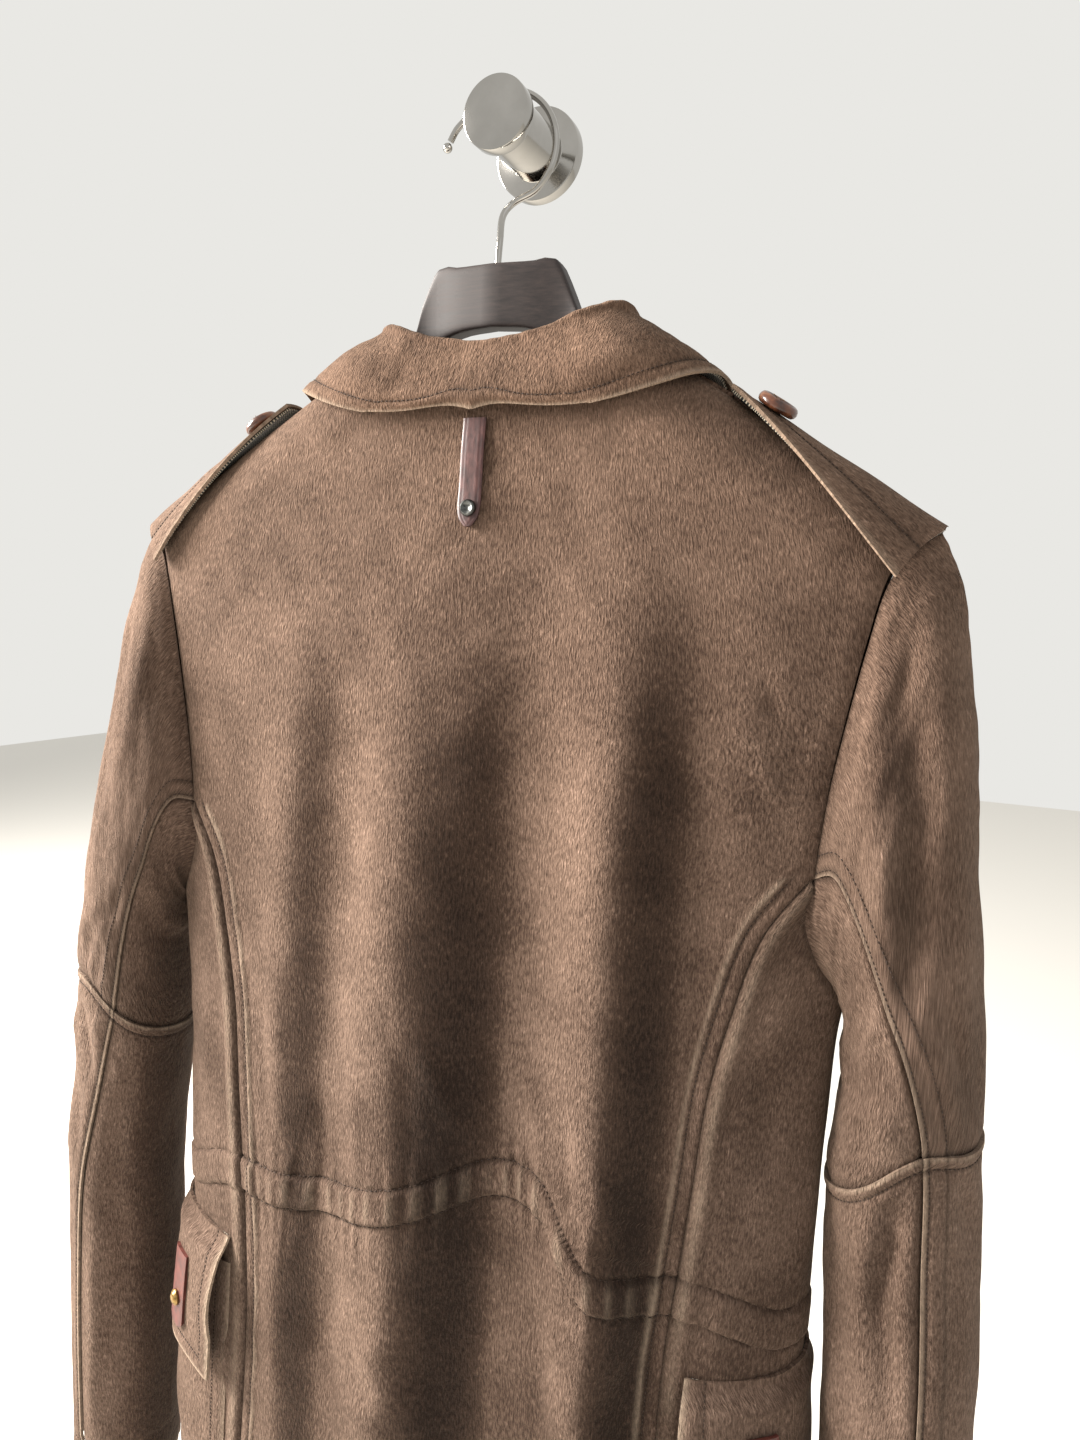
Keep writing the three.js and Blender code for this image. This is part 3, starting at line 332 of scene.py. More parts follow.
def ridge_z(x):
    return TIP_Z + SHOULDER_SLOPE * (TIP_HALF - np.sqrt(x * x + NECK_SOFTNESS ** 2))


def ridge_y(x):
    return -12 - 8 * np.clip((np.abs(x) - 60) / (TIP_HALF - 60), 0, 1)


def folds_at(x, z, folds):
    side = 1 - np.minimum(np.abs(x) / 150, 1) ** 6
    return side * sum(rise * hump(x - middle, width) * (1 - smoothstep(z, full, top))
                      for middle, width, rise, top, full in folds)


def cloth_y(x, z, back):
    """y of the cloth. back is True on the back."""
    shoulder = ridge_z(x) - ROUND
    flat_z = np.minimum(z, shoulder)
    middle = np.where(back, BODY.back(flat_z), BODY.front(flat_z))
    side = BODY.side(flat_z)
    drape = np.where(back, -folds_at(x, flat_z, BACK_FOLDS), folds_at(x, flat_z, FRONT_FOLDS))
    flat = side + (middle - side) * depth_share(x / BODY.half(flat_z)) + drape
    climb = np.clip((z - shoulder) / ROUND, 0, 1)
    return np.where(z <= shoulder, flat, ridge_y(x) + (flat - ridge_y(x)) * np.sqrt(1 - climb ** 2))


def over_shoulder(x, down):
    """A point by x and the way down from the shoulder line, below zero on the back."""
    x, down = np.broadcast_arrays(np.asarray(x, float), np.asarray(down, float))
    shoulder = ridge_z(x) - ROUND
    arc = ROUND * math.pi / 2
    z = np.where(np.abs(down) < arc, shoulder + ROUND * np.cos(np.abs(down) / ROUND),
                 shoulder - (np.abs(down) - arc))
    return points_of(x, cloth_y(x, z, down < 0), z)


def down_to(x, z):
    shoulder = ridge_z(x) - ROUND
    near = ROUND * np.arccos(np.clip((z - shoulder) / ROUND, 0, 1))
    return np.where(z > shoulder, near, ROUND * math.pi / 2 + shoulder - z)


def outward(surface, a, b, away, step=0.5):
    """Unit direction out of a surface, on the side that away points to."""
    first = surface(a + step, b) - surface(a - step, b)
    second = surface(a, b + step) - surface(a, b - step)
    normal = np.cross(first, second)
    normal /= np.linalg.norm(normal, axis=-1, keepdims=True)
    return np.where((normal * away).sum(-1, keepdims=True) < 0, -normal, normal)


def away_of(x, down):
    """Roughly outward: up on the shoulder, and to the back or front below it."""
    upright = 1 - np.minimum(np.abs(down) / 100, 0.95)
    return points_of(x / 400, np.clip(down / ROUND, -1, 1), upright)


def shoulder_normal(x, down):
    x, down = np.broadcast_arrays(np.asarray(x, float), np.asarray(down, float))
    return outward(over_shoulder, x, down, away_of(x, down))


def off_shoulder(x, down, off):
    return over_shoulder(x, down) + shoulder_normal(x, down) * np.asarray(off)[..., None]


def turn_at_x(x, z):
    return np.arcsin(np.minimum((np.abs(x) / BODY.half(z)) ** (WIDTH_POWER / 2), 1))


def ring_point(side, turn, z):
    x = side * BODY.half(z) * np.maximum(np.sin(turn), 0) ** (2 / WIDTH_POWER)
    return points_of(x, cloth_y(x, z, turn < math.pi / 2), z)


def ring_away(side, turn, z):
    return points_of(side * np.sin(turn), -np.cos(turn), 0 * z)


def ring_normal(side, turn, z):
    return outward(lambda degrees, height: ring_point(side, np.radians(degrees), height),
                   np.degrees(turn), z, ring_away(side, turn, z))


print("shoulder tip at", over_shoulder(TIP_HALF, 0).round(1))

# %% The armhole shared by body and sleeve
ARMHOLE_MIDDLE_Z = (TIP_Z + UNDERARM_Z) / 2
ARMHOLE_HALF_Z = (TIP_Z - UNDERARM_Z) / 2
SIDE_SHARE = 0.51


def armhole_z(degrees):
    return ARMHOLE_MIDDLE_Z + ARMHOLE_HALF_Z * np.cos(np.radians(degrees))


def half_cos(degrees):
    return np.abs(np.cos(np.radians(degrees / 2)))


def side_place(degrees):
    back = SIDE_SHARE * (1 - half_cos(degrees) / half_cos(CORNER_TURN))
    front = SIDE_SHARE + (1 - SIDE_SHARE) * half_cos(degrees) / half_cos(FRONT_CORNER_TURN)
    return np.where(degrees <= 180, back, front)


def side_top_z(place):
    back = UNDERARM_Z + (armhole_z(CORNER_TURN) - UNDERARM_Z) * (1 - place / SIDE_SHARE) ** 2
    share = (place - SIDE_SHARE) / (1 - SIDE_SHARE)
    front = UNDERARM_Z + (armhole_z(FRONT_CORNER_TURN) - UNDERARM_Z) * share ** 2
    return np.where(place <= SIDE_SHARE, back, front)


def side_turn(place, z):
    return mix(turn_at_x(PRINCESS.x(z), z), math.pi - turn_at_x(FRONT_SEAM.x(z), z), place)


def armhole_point(side, degrees):
    """A point of the armhole: 0 at the shoulder tip, 90 on the back, 180 under the arm."""
    turn = (np.asarray(degrees, float) + 360) % 360
    z = armhole_z(turn)
    low = (turn > CORNER_TURN) & (turn < FRONT_CORNER_TURN)
    under = ring_point(side, side_turn(side_place(turn), z), z)
    x = side * ARMHOLE.x(z)
    over = points_of(x, cloth_y(x, z, turn <= 180), z)
    return np.where(low[..., None], under, over)


print("underarm at", armhole_point(1, 180).round(1))

# %% [markdown]
# ## A cloth shell from a grid
#
# A real panel is one flat cut of suede, 1.8 mm thick. Blender's grid operator makes the
# flat cut with its own UV map. Its points then move onto the body's surface, and the
# Solidify modifier gives the cut its thickness inward. Four numbers ride on each point:
# how worn the nap is, how much painted shade it has, how light in tone, and how crackled.
# On the back, the right side panel and the sleeves, the tone also holds painted light and shade.

# %% Cloth from a grid
def finished(obj, *nodes, slot=None):
    """Joins a finished piece to the one body, and hides the solids it stands for."""
    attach(obj, "root")
    if nodes:
        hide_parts(*nodes)
    return obj


def settle(obj):
    """Applies the piece's modifiers, so that what shows is its own mesh."""
    graph = bpy.context.evaluated_depsgraph_get()
    mesh = bpy.data.meshes.new_from_object(obj.evaluated_get(graph))
    obj.modifiers.clear()
    old = obj.data
    obj.data = mesh
    bpy.data.meshes.remove(old)
    return obj


def cloth(name, points, away, material, thickness=SUEDE, looks=None):
    """A thin shell through rows of points in jacket millimetres."""
    rows, columns = points.shape[:2]
    bm = bmesh.new()
    bmesh.ops.create_grid(bm, x_segments=columns - 1, y_segments=rows - 1, size=1, calc_uvs=False)
    mesh = bpy.data.meshes.new(name)
    bm.to_mesh(mesh)
    bm.free()
    spots = np.zeros(len(mesh.vertices) * 3)
    mesh.vertices.foreach_get("co", spots)
    spots = spots.reshape(-1, 3)
    i = np.rint((spots[:, 0] + 1) / 2 * (columns - 1)).astype(int)
    j = np.rint((spots[:, 1] + 1) / 2 * (rows - 1)).astype(int)
    room = to_room(points)
    mesh.vertices.foreach_set("co", room[j, i].ravel())
    across = run_along(points, 1)
    flat_mm = np.stack((across - across[:, [columns // 2]], run_along(points, 0)), -1)
    corners = np.zeros(len(mesh.loops), int)
    mesh.loops.foreach_get("vertex_index", corners)
    uv = mesh.uv_layers.new(name="cut")
    uv.data.foreach_set("uv", (flat_mm[j, i][corners] * MM).ravel())
    if looks is None:
        looks = np.zeros((rows, columns, 4))
        looks[..., 2] = 0.5
    layer = mesh.attributes.new("looks", "FLOAT_COLOR", "POINT")
    layer.data.foreach_set("color", np.clip(looks[j, i], 0, 1).ravel())
    mesh.update()
    facing = np.array(mesh.polygons[len(mesh.polygons) // 2].normal)
    if facing @ turned_to_room(np.asarray(away, float)) < 0:
        mesh.flip_normals()
    mesh.materials.append(material)
    obj = add_object(name, mesh)
    wall = obj.modifiers.new("thickness", "SOLIDIFY")
    wall.thickness = thickness * MM
    wall.offset = -1
    settle(obj)
    obj.data.polygons.foreach_set("use_smooth", [True] * len(obj.data.polygons))
    obj.data.set_sharp_from_angle(angle=math.radians(60))
    print(f"{name}: {len(obj.data.polygons) * 2} triangles")
    return obj


def uneven(x, seed, scale):
    """A soft repeatable wobble of one coordinate, from about -1 to 1."""
    rng = random.Random(seed)
    waves = [(rng.uniform(0.6, 1.8) / scale, rng.uniform(0, 6.28)) for _ in range(4)]
    return sum(np.sin(np.asarray(x) * f * 6.28 + p) for f, p in waves) / 3


def creases(u, v, rows):
    """Soft troughs (below zero) and ridges: u, v of both ends, half width, height."""
    total = 0
    for k, (u0, v0, u1, v1, width, height) in enumerate(rows):
        du, dv = u1 - u0, v1 - v0
        length = math.hypot(du, dv)
        along = ((u - u0) * du + (v - v0) * dv) / length
        off = ((u - u0) * -dv + (v - v0) * du) / length
        off = off + uneven(along, 40 + k, 60) * width * 0.5
        share = np.clip(along / length, 0, 1)
        ends = np.clip(np.sin(math.pi * share), 0, 1) ** 0.6 * ((along > 0) & (along < length))
        total = total + height * ends * hump(off, width)
    return total


print("cloth maker ready")

# %% [markdown]
# ## Suede
#
# Suede is hide whose flesh side is brushed up to a short nap. It has hardly any gloss.
# Each tuft lies its own way, so the colour changes in flecks, and rubbed edges turn
# pale. Noise stretched down the cut draws the tufts, wider noise draws the patches, and
# the sheen lobe gives the soft glow where the cloth turns away from the eye.

# %% Suede made of nodes
SUEDE_TONES = [(0.0, "261c17"), (0.28, "48382f"), (0.52, "6f5b4f"), (0.76, "987f71"),
               (1.0, "bda597")]


# Each noise: what it is read from, grain in mm, detail, roughness, stretch, swing of tone.
SUEDE_GRAINS = {
    "patches": ("room", 42, 4, 0.6, (1, 1, 1), 0.16),
    "clouds": ("room", 9, 3, 0.6, (1, 1, 1), 0.14),
    "tufts": ("cut", 1.7, 3, 0.65, (1, 0.4, 1), 0.45),
    "hairs": ("cut", 0.9, 2, 0.6, (1, 0.24, 1), 0.6)}
SUEDE_DARKER = -0.115
MATHS, MIX, NOISE = "ShaderNodeMath", "ShaderNodeMix", "ShaderNodeTexNoise"


def suede(name, lighter=0.0, golden=0.0):
    """Worn brown suede. lighter and golden shift a whole piece."""
    material, tree, surface = new_material(name)
    place = {"cut": add_node(tree, "ShaderNodeUVMap", uv_map="cut").outputs["UV"],
             "room": add_node(tree, "ShaderNodeTexCoord").outputs["Object"]}
    looks = add_node(tree, "ShaderNodeAttribute", attribute_name="looks").outputs
    parts = add_node(tree, "ShaderNodeSeparateColor", {"Color": looks["Color"]}).outputs

    # Bright fleck noise is read at a place pushed about, so that its tufts don't line up.
    wander = add_node(tree, NOISE, {"Vector": place["cut"], "Scale": 120, "Detail": 1})
    pushed = add_node(tree, "ShaderNodeVectorMath", {0: wander.outputs["Color"], "Scale": 0.004},
                      operation="SCALE")
    bent = add_node(tree, "ShaderNodeVectorMath", {0: place["cut"], 1: pushed.outputs["Vector"]})
    longer = add_node(tree, "ShaderNodeMapping", {"Vector": bent.outputs["Vector"],
                                                  "Scale": (1, 0.3, 1)})
    flecks = add_node(tree, NOISE, {"Vector": longer.outputs["Vector"], "Scale": 1000,
                                    "Detail": 2, "Roughness": 0.5})
    bright = add_node(tree, "ShaderNodeMapRange", {
        "Value": flecks.outputs["Fac"], "From Min": 0.56, "From Max": 0.74, "To Min": 0.0,
        "To Max": 0.14})

    # The tone is the piece's own, plus the flecks, plus each grain's swing about its middle.
    tone = add_node(tree, MATHS, {0: parts["Blue"], 1: lighter + SUEDE_DARKER}).outputs["Value"]
    tone = add_node(tree, MATHS, {0: tone, 1: bright.outputs["Result"]}).outputs["Value"]
    grains = {}
    for grain, (source, size_mm, detail, roughness, stretch, swing) in SUEDE_GRAINS.items():
        mapped = add_node(tree, "ShaderNodeMapping", {"Vector": place[source], "Scale": stretch})
        grains[grain] = add_node(tree, NOISE, {
            "Vector": mapped.outputs["Vector"], "Scale": 1000 / size_mm, "Detail": detail,
            "Roughness": roughness}).outputs["Fac"]
        middle = add_node(tree, MATHS, {0: grains[grain], 1: 0.5}, operation="SUBTRACT")
        tone = add_node(tree, MATHS, {0: middle.outputs["Value"], 1: swing, 2: tone},
                        operation="MULTIPLY_ADD").outputs["Value"]
    colour = add_node(tree, "ShaderNodeValToRGB", {"Fac": tone}, SUEDE_TONES).outputs["Color"]

    # Golden light on the upper cloth, pale rubbed edges, and painted shade in the seams, grooves
    # and sewing rows.
    height = add_node(tree, "ShaderNodeSeparateXYZ", {"Vector": place["room"]}).outputs["Z"]
    warm = add_node(tree, "ShaderNodeMapRange", {
        "Value": height, "From Min": -0.5, "From Max": -0.12, "To Min": golden,
        "To Max": 0.2 + golden})
    tufted = add_node(tree, MATHS, {0: grains["tufts"], 1: 0.25})
    rubbed = add_node(tree, MATHS, {0: parts["Red"], 1: tufted.outputs["Value"]},
                      operation="MULTIPLY", use_clamp=True)
    for factor, tint, blend in ((warm.outputs["Result"], "b79a70", "SOFT_LIGHT"),
                                (rubbed.outputs["Value"], "bca893", "MIX"),
                                (parts["Green"], "1b120d", "MIX")):
        colour = add_node(tree, MIX, {"Factor": factor, 6: colour, 7: hex_colour(tint)},
                          data_type="RGBA", blend_type=blend).outputs[2]
    tree.links.new(colour, surface.inputs["Base Color"])
    for socket, value in (("Roughness", 0.95), ("Specular IOR Level", 0.15), ("Sheen Weight", 0.14),
                          ("Sheen Roughness", 0.45), ("Sheen Tint", hex_colour("d9bfa3"))):
        surface.inputs[socket].default_value = value

    # Relief of nap and clouds, and cracks about 4 mm apart where the piece says so.
    cracks = add_node(tree, "ShaderNodeTexVoronoi", {"Vector": place["cut"], "Scale": 260},
                      feature="DISTANCE_TO_EDGE")
    cracked = add_node(tree, MATHS, {0: cracks.outputs["Distance"], 1: looks["Alpha"]},
                       operation="MULTIPLY").outputs["Value"]
    relief = add_node(tree, MATHS, {0: grains["tufts"], 1: grains["clouds"]}).outputs["Value"]
    for part, share in ((grains["hairs"], 1.4), (cracked, 3.0)):
        relief = add_node(tree, MATHS, {0: part, 1: share, 2: relief},
                          operation="MULTIPLY_ADD").outputs["Value"]
    bump = add_node(tree, "ShaderNodeBump", {"Height": relief, "Strength": 0.9, "Distance": 0.0011})
    tree.links.new(bump.outputs["Normal"], surface.inputs["Normal"])
    return material


BODY_SUEDE = suede("worn_suede_body")
SLEEVE_SUEDE = suede("worn_suede_sleeves", lighter=0.03)
COLLAR_SUEDE = suede("worn_suede_collar", lighter=-0.02, golden=0.12)
print("suede made")

# %% [markdown]
# ## Herringbone wool
#
# The undersides of collar, epaulettes and flaps are a black and white herringbone: fine
# diagonal ribs that change direction every few millimetres. A ping-pong of the width
# turns straight ribs into that zigzag. The real threads are finer than the render can
# show, so the ribs are drawn 1.6 mm apart.

# %% Herringbone made of nodes
RIB_MM, BAND_MM = 1.6, 4.2
WOOL_CLOTH, tree, surface = new_material("herringbone_wool")
cut = add_node(tree, "ShaderNodeUVMap", uv_map="cut").outputs["UV"]
axes = add_node(tree, "ShaderNodeSeparateXYZ", {"Vector": cut}).outputs
zigzag = add_node(tree, MATHS, {0: axes["X"], 1: BAND_MM / 2 * MM}, operation="PINGPONG")
ribs = add_node(tree, MATHS, {0: axes["Y"], 1: zigzag.outputs["Value"]})
turns = add_node(tree, MATHS, {0: ribs.outputs["Value"], 1: 2 * math.pi / (RIB_MM * MM)},
                 operation="MULTIPLY")
wave = add_node(tree, MATHS, {0: turns.outputs["Value"]}, operation="SINE")
fuzz = add_node(tree, NOISE, {"Vector": cut, "Scale": 1000 / 0.6, "Detail": 2, "Roughness": 0.55})
rib_share = add_node(tree, MATHS, {0: wave.outputs["Value"], 1: 0.45}, operation="MULTIPLY")
light_rib = add_node(tree, MATHS, {0: fuzz.outputs["Fac"], 1: 0.9, 2: rib_share.outputs["Value"]},
                     operation="MULTIPLY_ADD").outputs["Value"]
yarn = add_node(tree, "ShaderNodeValToRGB", {"Fac": light_rib},
                [(0.2, "15120f"), (0.5, "3a342d"), (0.8, "b9ad98")])
tree.links.new(yarn.outputs["Color"], surface.inputs["Base Color"])
surface.inputs["Roughness"].default_value = 0.95
surface.inputs["Sheen Weight"].default_value = 0.3
bump = add_node(tree, "ShaderNodeBump", {"Height": light_rib, "Strength": 0.6, "Distance": 0.0004})
tree.links.new(bump.outputs["Normal"], surface.inputs["Normal"])
print("wool made")

# %% [markdown]
# ## Leather, horn-like buttons, thread, brass, wood and chrome
#
# Smooth leather keeps its grain side and a soft gloss. The buttons are cast and
# marbled. Thread is dull and slightly twisted. The hanger is dark stained wood under a
# satin lacquer, and the peg is polished chrome, which shows only what is around it.

# %% Small materials made of nodes


def grained(name, stops, size_mm, stretch, roughness, depth_mm, detail=4, coat=0.0, metal=0.0,
            swing=0.25):
    """A material whose colour and relief follow one noise."""
    material, tree, surface = new_material(name)
    room = add_node(tree, "ShaderNodeTexCoord").outputs["Object"]
    mapped = add_node(tree, "ShaderNodeMapping", {"Vector": room, "Scale": stretch})
    grain = add_node(tree, NOISE, {"Vector": mapped.outputs["Vector"], "Scale": 1000 / size_mm,
                                   "Detail": detail, "Roughness": 0.6}).outputs["Fac"]
    colour = add_node(tree, "ShaderNodeValToRGB", {"Fac": grain}, stops)
    shine = add_node(tree, "ShaderNodeMapRange", {
        "Value": grain, "To Min": roughness - swing / 2, "To Max": roughness + swing / 2})
    tree.links.new(colour.outputs["Color"], surface.inputs["Base Color"])
    tree.links.new(shine.outputs["Result"], surface.inputs["Roughness"])
    surface.inputs["Coat Weight"].default_value = coat
    surface.inputs["Metallic"].default_value = metal
    bump = add_node(tree, "ShaderNodeBump", {"Height": grain, "Strength": 0.5,
                                             "Distance": depth_mm * MM})
    tree.links.new(bump.outputs["Normal"], surface.inputs["Normal"])
    return material


LOOP_LEATHER = grained("dark_red_brown_leather",
                       [(0.3, "2b1514"), (0.55, "4a2a27"), (0.8, "6b4641")],
                       2.5, (1, 1, 0.35), 0.5, 0.25, coat=0.08)
TAB_LEATHER = grained("tan_red_leather", [(0.3, "3c1d18"), (0.6, "5f3029"), (0.85, "7d4a3d")],
                      3, (1, 1, 0.5), 0.5, 0.2)
BUTTON_HORN = grained("marbled_button_resin",
                      [(0.3, "2a140c"), (0.5, "5b3320"), (0.75, "8d5c3c")], 7, (1, 1, 1),
                      0.34, 0.05, coat=0.35)
THREAD = grained("brown_thread", [(0.3, "20150f"), (0.7, "3d2b1f")], 0.9, (1, 1, 1), 0.85, 0.1)
PALE_THREAD = grained("light_brown_thread", [(0.3, "6a5138"), (0.7, "9c8263")], 0.9, (1, 1, 1),
                      0.85, 0.1)
BRASS = grained("aged_brass", [(0.3, "6b5231"), (0.7, "a98c58")], 2, (1, 1, 1), 0.36, 0.03,
                metal=1.0)
RIVET_METAL = grained("dark_worn_steel", [(0.3, "3a3b3a"), (0.7, "6d6e6c")], 1.5, (1, 1, 1),
                      0.34, 0.03, metal=1.0)
WOOD = grained("dark_stained_beech", [(0.3, "1d1514"), (0.55, "2e2422"), (0.8, "3d312d")],
               1.6, (0.05, 1, 1), 0.58, 0.05, detail=5)
CHROME = grained("polished_chrome", [(0.3, "a5a29d"), (0.7, "b4b1ac")], 30, (1, 1, 1), 0.11, 0.0,
                 metal=1.0, swing=0.04)
print("small materials made")

# %% [markdown]
# ## Relief: bands, seams, the gathered waist and wobble
#
# Sewing pulls cloth down along its line and leaves a soft roll beside it. Each panel's
# relief is a sum of such soft lines, measured as millimetres from the seam. The wobble
# is a sum of a few waves in random directions, so no two stretches look alike.

# %% Relief helpers


def wobble(u, v, seed, size_mm, waves=7):
    """A soft uneven surface from about -1 to 1, whose swells are size_mm wide."""
    rng = random.Random(seed)
    total = 0
    for _ in range(waves):
        angle, phase = rng.uniform(0, math.pi), rng.uniform(0, 6.28)
        pace = 6.28 / (size_mm * rng.uniform(0.7, 1.7))
        total = total + np.sin((u * math.cos(angle) + v * math.sin(angle)) * pace + phase)
    return total / (0.6 * waves)


def grid_normals(points, away):
    """Unit directions out of a grid of points, on the side that away points to."""
    normal = np.cross(np.gradient(points, axis=1), np.gradient(points, axis=0))
    length = np.linalg.norm(normal, axis=-1, keepdims=True)
    normal = normal / np.maximum(length, 1e-9)
    return np.where((normal * away).sum(-1, keepdims=True) < 0, -normal, normal)


def raised(points, away, relief):
    return points + grid_normals(points, away) * relief[..., None]


def looks_of(shape, worn=0, shade=0, tone=0.5, crackle=0):
    parts = [np.broadcast_to(part, shape) for part in (worn, shade, tone, crackle)]
    return np.stack(parts, -1).astype(float)


def band_relief(d):
    """The flat felled band beside a princess seam, d millimetres from the seam line."""
    return (0.9 * (1 - smoothstep(d, 10.2, 12.2)) + 0.45 * hump(d - 10.2, 1.3)
            - 0.7 * hump(d - 7.6, 1.0) + 0.3 * hump(d - 4, 2.4) - 1.7 * hump(d, 1.3))


def casing_z(x, back=True):
    """Upper sewing row of the waist casing, and plain at the sides."""
    side = mix(CASING.z(np.sign(x) * 128), CASING_SIDE_Z, smoothstep(np.abs(x), 128, 165))
    return np.where(np.abs(x) < 128, CASING.z(x), side) if back else CASING_SIDE_Z + 0 * x


def gathers(along, strength, seed=3):
    """Pinched ridges 9 to 14 mm apart along a gathered sewing row."""
    swing = along / 11.5 * 6.28 + 2.2 * uneven(along, seed, 70)
    return strength * (np.sin(swing) + 0.35 * np.sin(2.1 * swing + 1)) * (
        0.75 + 0.35 * uneven(along, seed + 1, 45))


def casing_relief(along, z, top, strength, reach=26):
    """The casing's two rows, its raised strip and the puckers around it."""
    bottom = top - CASING_WIDTH
    inside = smoothstep(z, bottom - 1, bottom + 2.5) * (1 - smoothstep(z, top - 2.5, top + 1))
    beyond = np.maximum(np.maximum(z - top, bottom - z), 0)
    lean = along + 0.18 * (z - top) * uneven(along, 9, 60)
    pucker = gathers(lean, strength) * np.exp(-((beyond / reach) ** 2) * 1.9)
    pucker = pucker * (0.55 + 0.45 * wobble(along, z, 13, 36))
    rows = hump(z - top, 1.3) + hump(z - bottom, 1.3)
    return (0.9 + 0.7 * strength) * inside + pucker * (1 - 0.35 * rows) - 1.1 * rows


print("gathers from", gathers(np.arange(0, 260.0), 1).min().round(2), "mm")

# %% [markdown]
# ## Back panel
#
# The back is one wide panel. Long soft folds fall from the shoulders. The casing's cord
# gathers it at the waist, and below that the skirt flares in deeper folds. Its rows are
# closer together where the casing is, so that the puckers have enough faces.

# %% Back and front panels


def spread(low, high, step, *tighter):
    """Rising places from low to high, with other steps inside (from, to, step) ranges."""
    stops = [low]
    while stops[-1] < high - 1e-6:
        at = stops[-1]
        inside = [s for a, b, s in tighter if a <= at < b]
        stops.append(at + (inside[0] if inside else step))
    stops = np.array(stops)
    return low + (stops - low) * (high - low) / (stops[-1] - low)


def body_panel(face, side, share, heights, turns, seam, corner_turn, middle_top, neck):
    """Rows of points: straight rows up to the corner, then rows that follow the armhole."""
    corner = float(armhole_z(corner_turn))
    corner_at = mix(middle_top, corner, share ** 2)
    rows = (heights - HEM_Z) / (corner - HEM_Z)
    x_edge = seam.x(heights)[:, None]
    x_low = side(x_edge, share)
    z_low = HEM_Z + rows[:, None] * (corner_at - HEM_Z)
    low = down_to(x_low, z_low)
    edge_z = armhole_z(turns)[:, None]
    edge_x = ARMHOLE.x(edge_z)
    x_high = side(edge_x, share)
    climb = 1 - down_to(edge_x, edge_z) / down_to(ARMHOLE.x(corner), corner)
    high = mix(down_to(x_high, corner_at), neck(x_high), climb)
    x = np.concatenate((x_low, x_high[1:]))
    down = face * np.concatenate((low, high[1:]))
    edge = np.concatenate((x_edge, edge_x[1:]))
    return x, down, edge


def neck_down(x, depth, power):
    inside = np.maximum(1 - (np.abs(x) / NECK_HALF) ** 2, 0) ** power
    return np.where(np.abs(x) < NECK_HALF, depth * inside, 0) + 0.8


even = np.linspace(-1, 1, 172)
share = 1.22 * even - 0.22 * even ** 3
heights = spread(HEM_Z, CORNER_Z, 3.3, (-850, -842, 1.6), (-612, -530, 1.7))
turns = np.concatenate((np.linspace(CORNER_TURN, 60, 30)[:-1], np.linspace(60, 0, 34)))
back_x, back_down, back_edge = body_panel(
    -1, lambda edge, s: edge * s, share, heights, turns, PRINCESS, CORNER_TURN, -335,
    lambda x: neck_down(x, NECK_BACK, 0.8))
back_points = over_shoulder(back_x, back_down)
x, z = back_x, back_points[..., 2]
seam_off = back_edge - np.abs(x)
below = z < CORNER_Z
top = casing_z(x)

# Creases near the casing, at the left princess seam and by the right armhole.
BACK_CREASES = [(-30, -455, -6, -540, 6, -1.5), (-12, -470, 14, -528, 5, 1.3),
                (22, -462, 30, -530, 7, -1.8), (-52, -500, -40, -560, 6, 1.4),
                (-75, -515, -66, -566, 5, -1.3), (46, -480, 58, -536, 5, 1.4),
                (70, -500, 74, -552, 5, -2.0), (88, -515, 90, -570, 5, 1.7),
                (104, -525, 101, -574, 4, -1.4), (96, -300, 132, -352, 5, -1.1),
                (84, -322, 128, -381, 6, 1.3), (100, -356, 136, -402, 4, -0.9),
                (140, -300, 166, -338, 4, 1.0), (148, -275, 172, -318, 4, -1.1),
                (128, -268, 160, -290, 5, -0.8), (-60, -606, -70, -700, 10, -2.2),
                (-22, -600, -30, -740, 12, 2.6), (10, -596, 4, -700, 9, -2.4),
                (34, -600, 40, -780, 10, 2.6), (62, -598, 62, -720, 8, -3.2),
                (84, -600, 92, -760, 9, 2.6), (108, -606, 112, -700, 7, -2.2),
                (-98, -604, -104, -720, 9, 1.6), (-118, -470, -104, -560, 5, -1.2),
                (-108, -420, -100, -545, 7, 1.3), (-45, -300, -62, -420, 12, -1.4),
                (14, -250, 6, -380, 14, 1.6), (118, -420, 108, -520, 6, 1.4),
                (124, -455, 120, -540, 4, -1.3)]
relief = creases(x, z, BACK_CREASES)
relief = relief + 0.3 * wobble(x, z, 5, 46) + 0.22 * wobble(x, z, 6, 17)
relief = relief * (1 - hump(seam_off, 9)) + np.where(below, band_relief(seam_off), 0)
armhole_fade = smoothstep(z, -372, -360)
relief = relief - armhole_fade * (0.5 * hump(seam_off, 2.2) - 0.4 * hump(seam_off - 7, 5))
relief = relief + casing_relief(x, z, top, 1.15)
relief = relief - 1.0 * hump(z - HEM_ROW_Z, 1.1) - 1.2 * hump(z - HEM_Z, 3)
worn = 0.5 * hump(seam_off - 10.3, 1.1) * below * (0.6 + 0.4 * wobble(x, z, 8, 30))
worn = worn + 0.35 * hump(z - HEM_Z, 4)
worn = worn + 0.22 * np.clip(gathers(x, 1), 0, 1) * hump(z - top + CASING_WIDTH / 2, 9)
shade = mix(0.3, 0.7, 1 * below) * hump(seam_off, 1.2) + 0.5 * hump(seam_off - 7.6, 0.8) * below
shade = shade + 0.5 * (hump(z - top, 1.0) + hump(z - top + CASING_WIDTH, 1.0))
tone = 0.5 + 0.05 * wobble(x, z, 11, 90) + 0.04 * wobble(x, z, 12, 30)
# Painted shade: a darker patch in the soft valley left of the middle, above the casing. The cloth
# is also a little lighter toward the shoulders.
tone = tone - 0.10 * hump(np.hypot(x + 20, (z + 505) * 0.7), 34) + 0.03 * smoothstep(z, -330, -190)
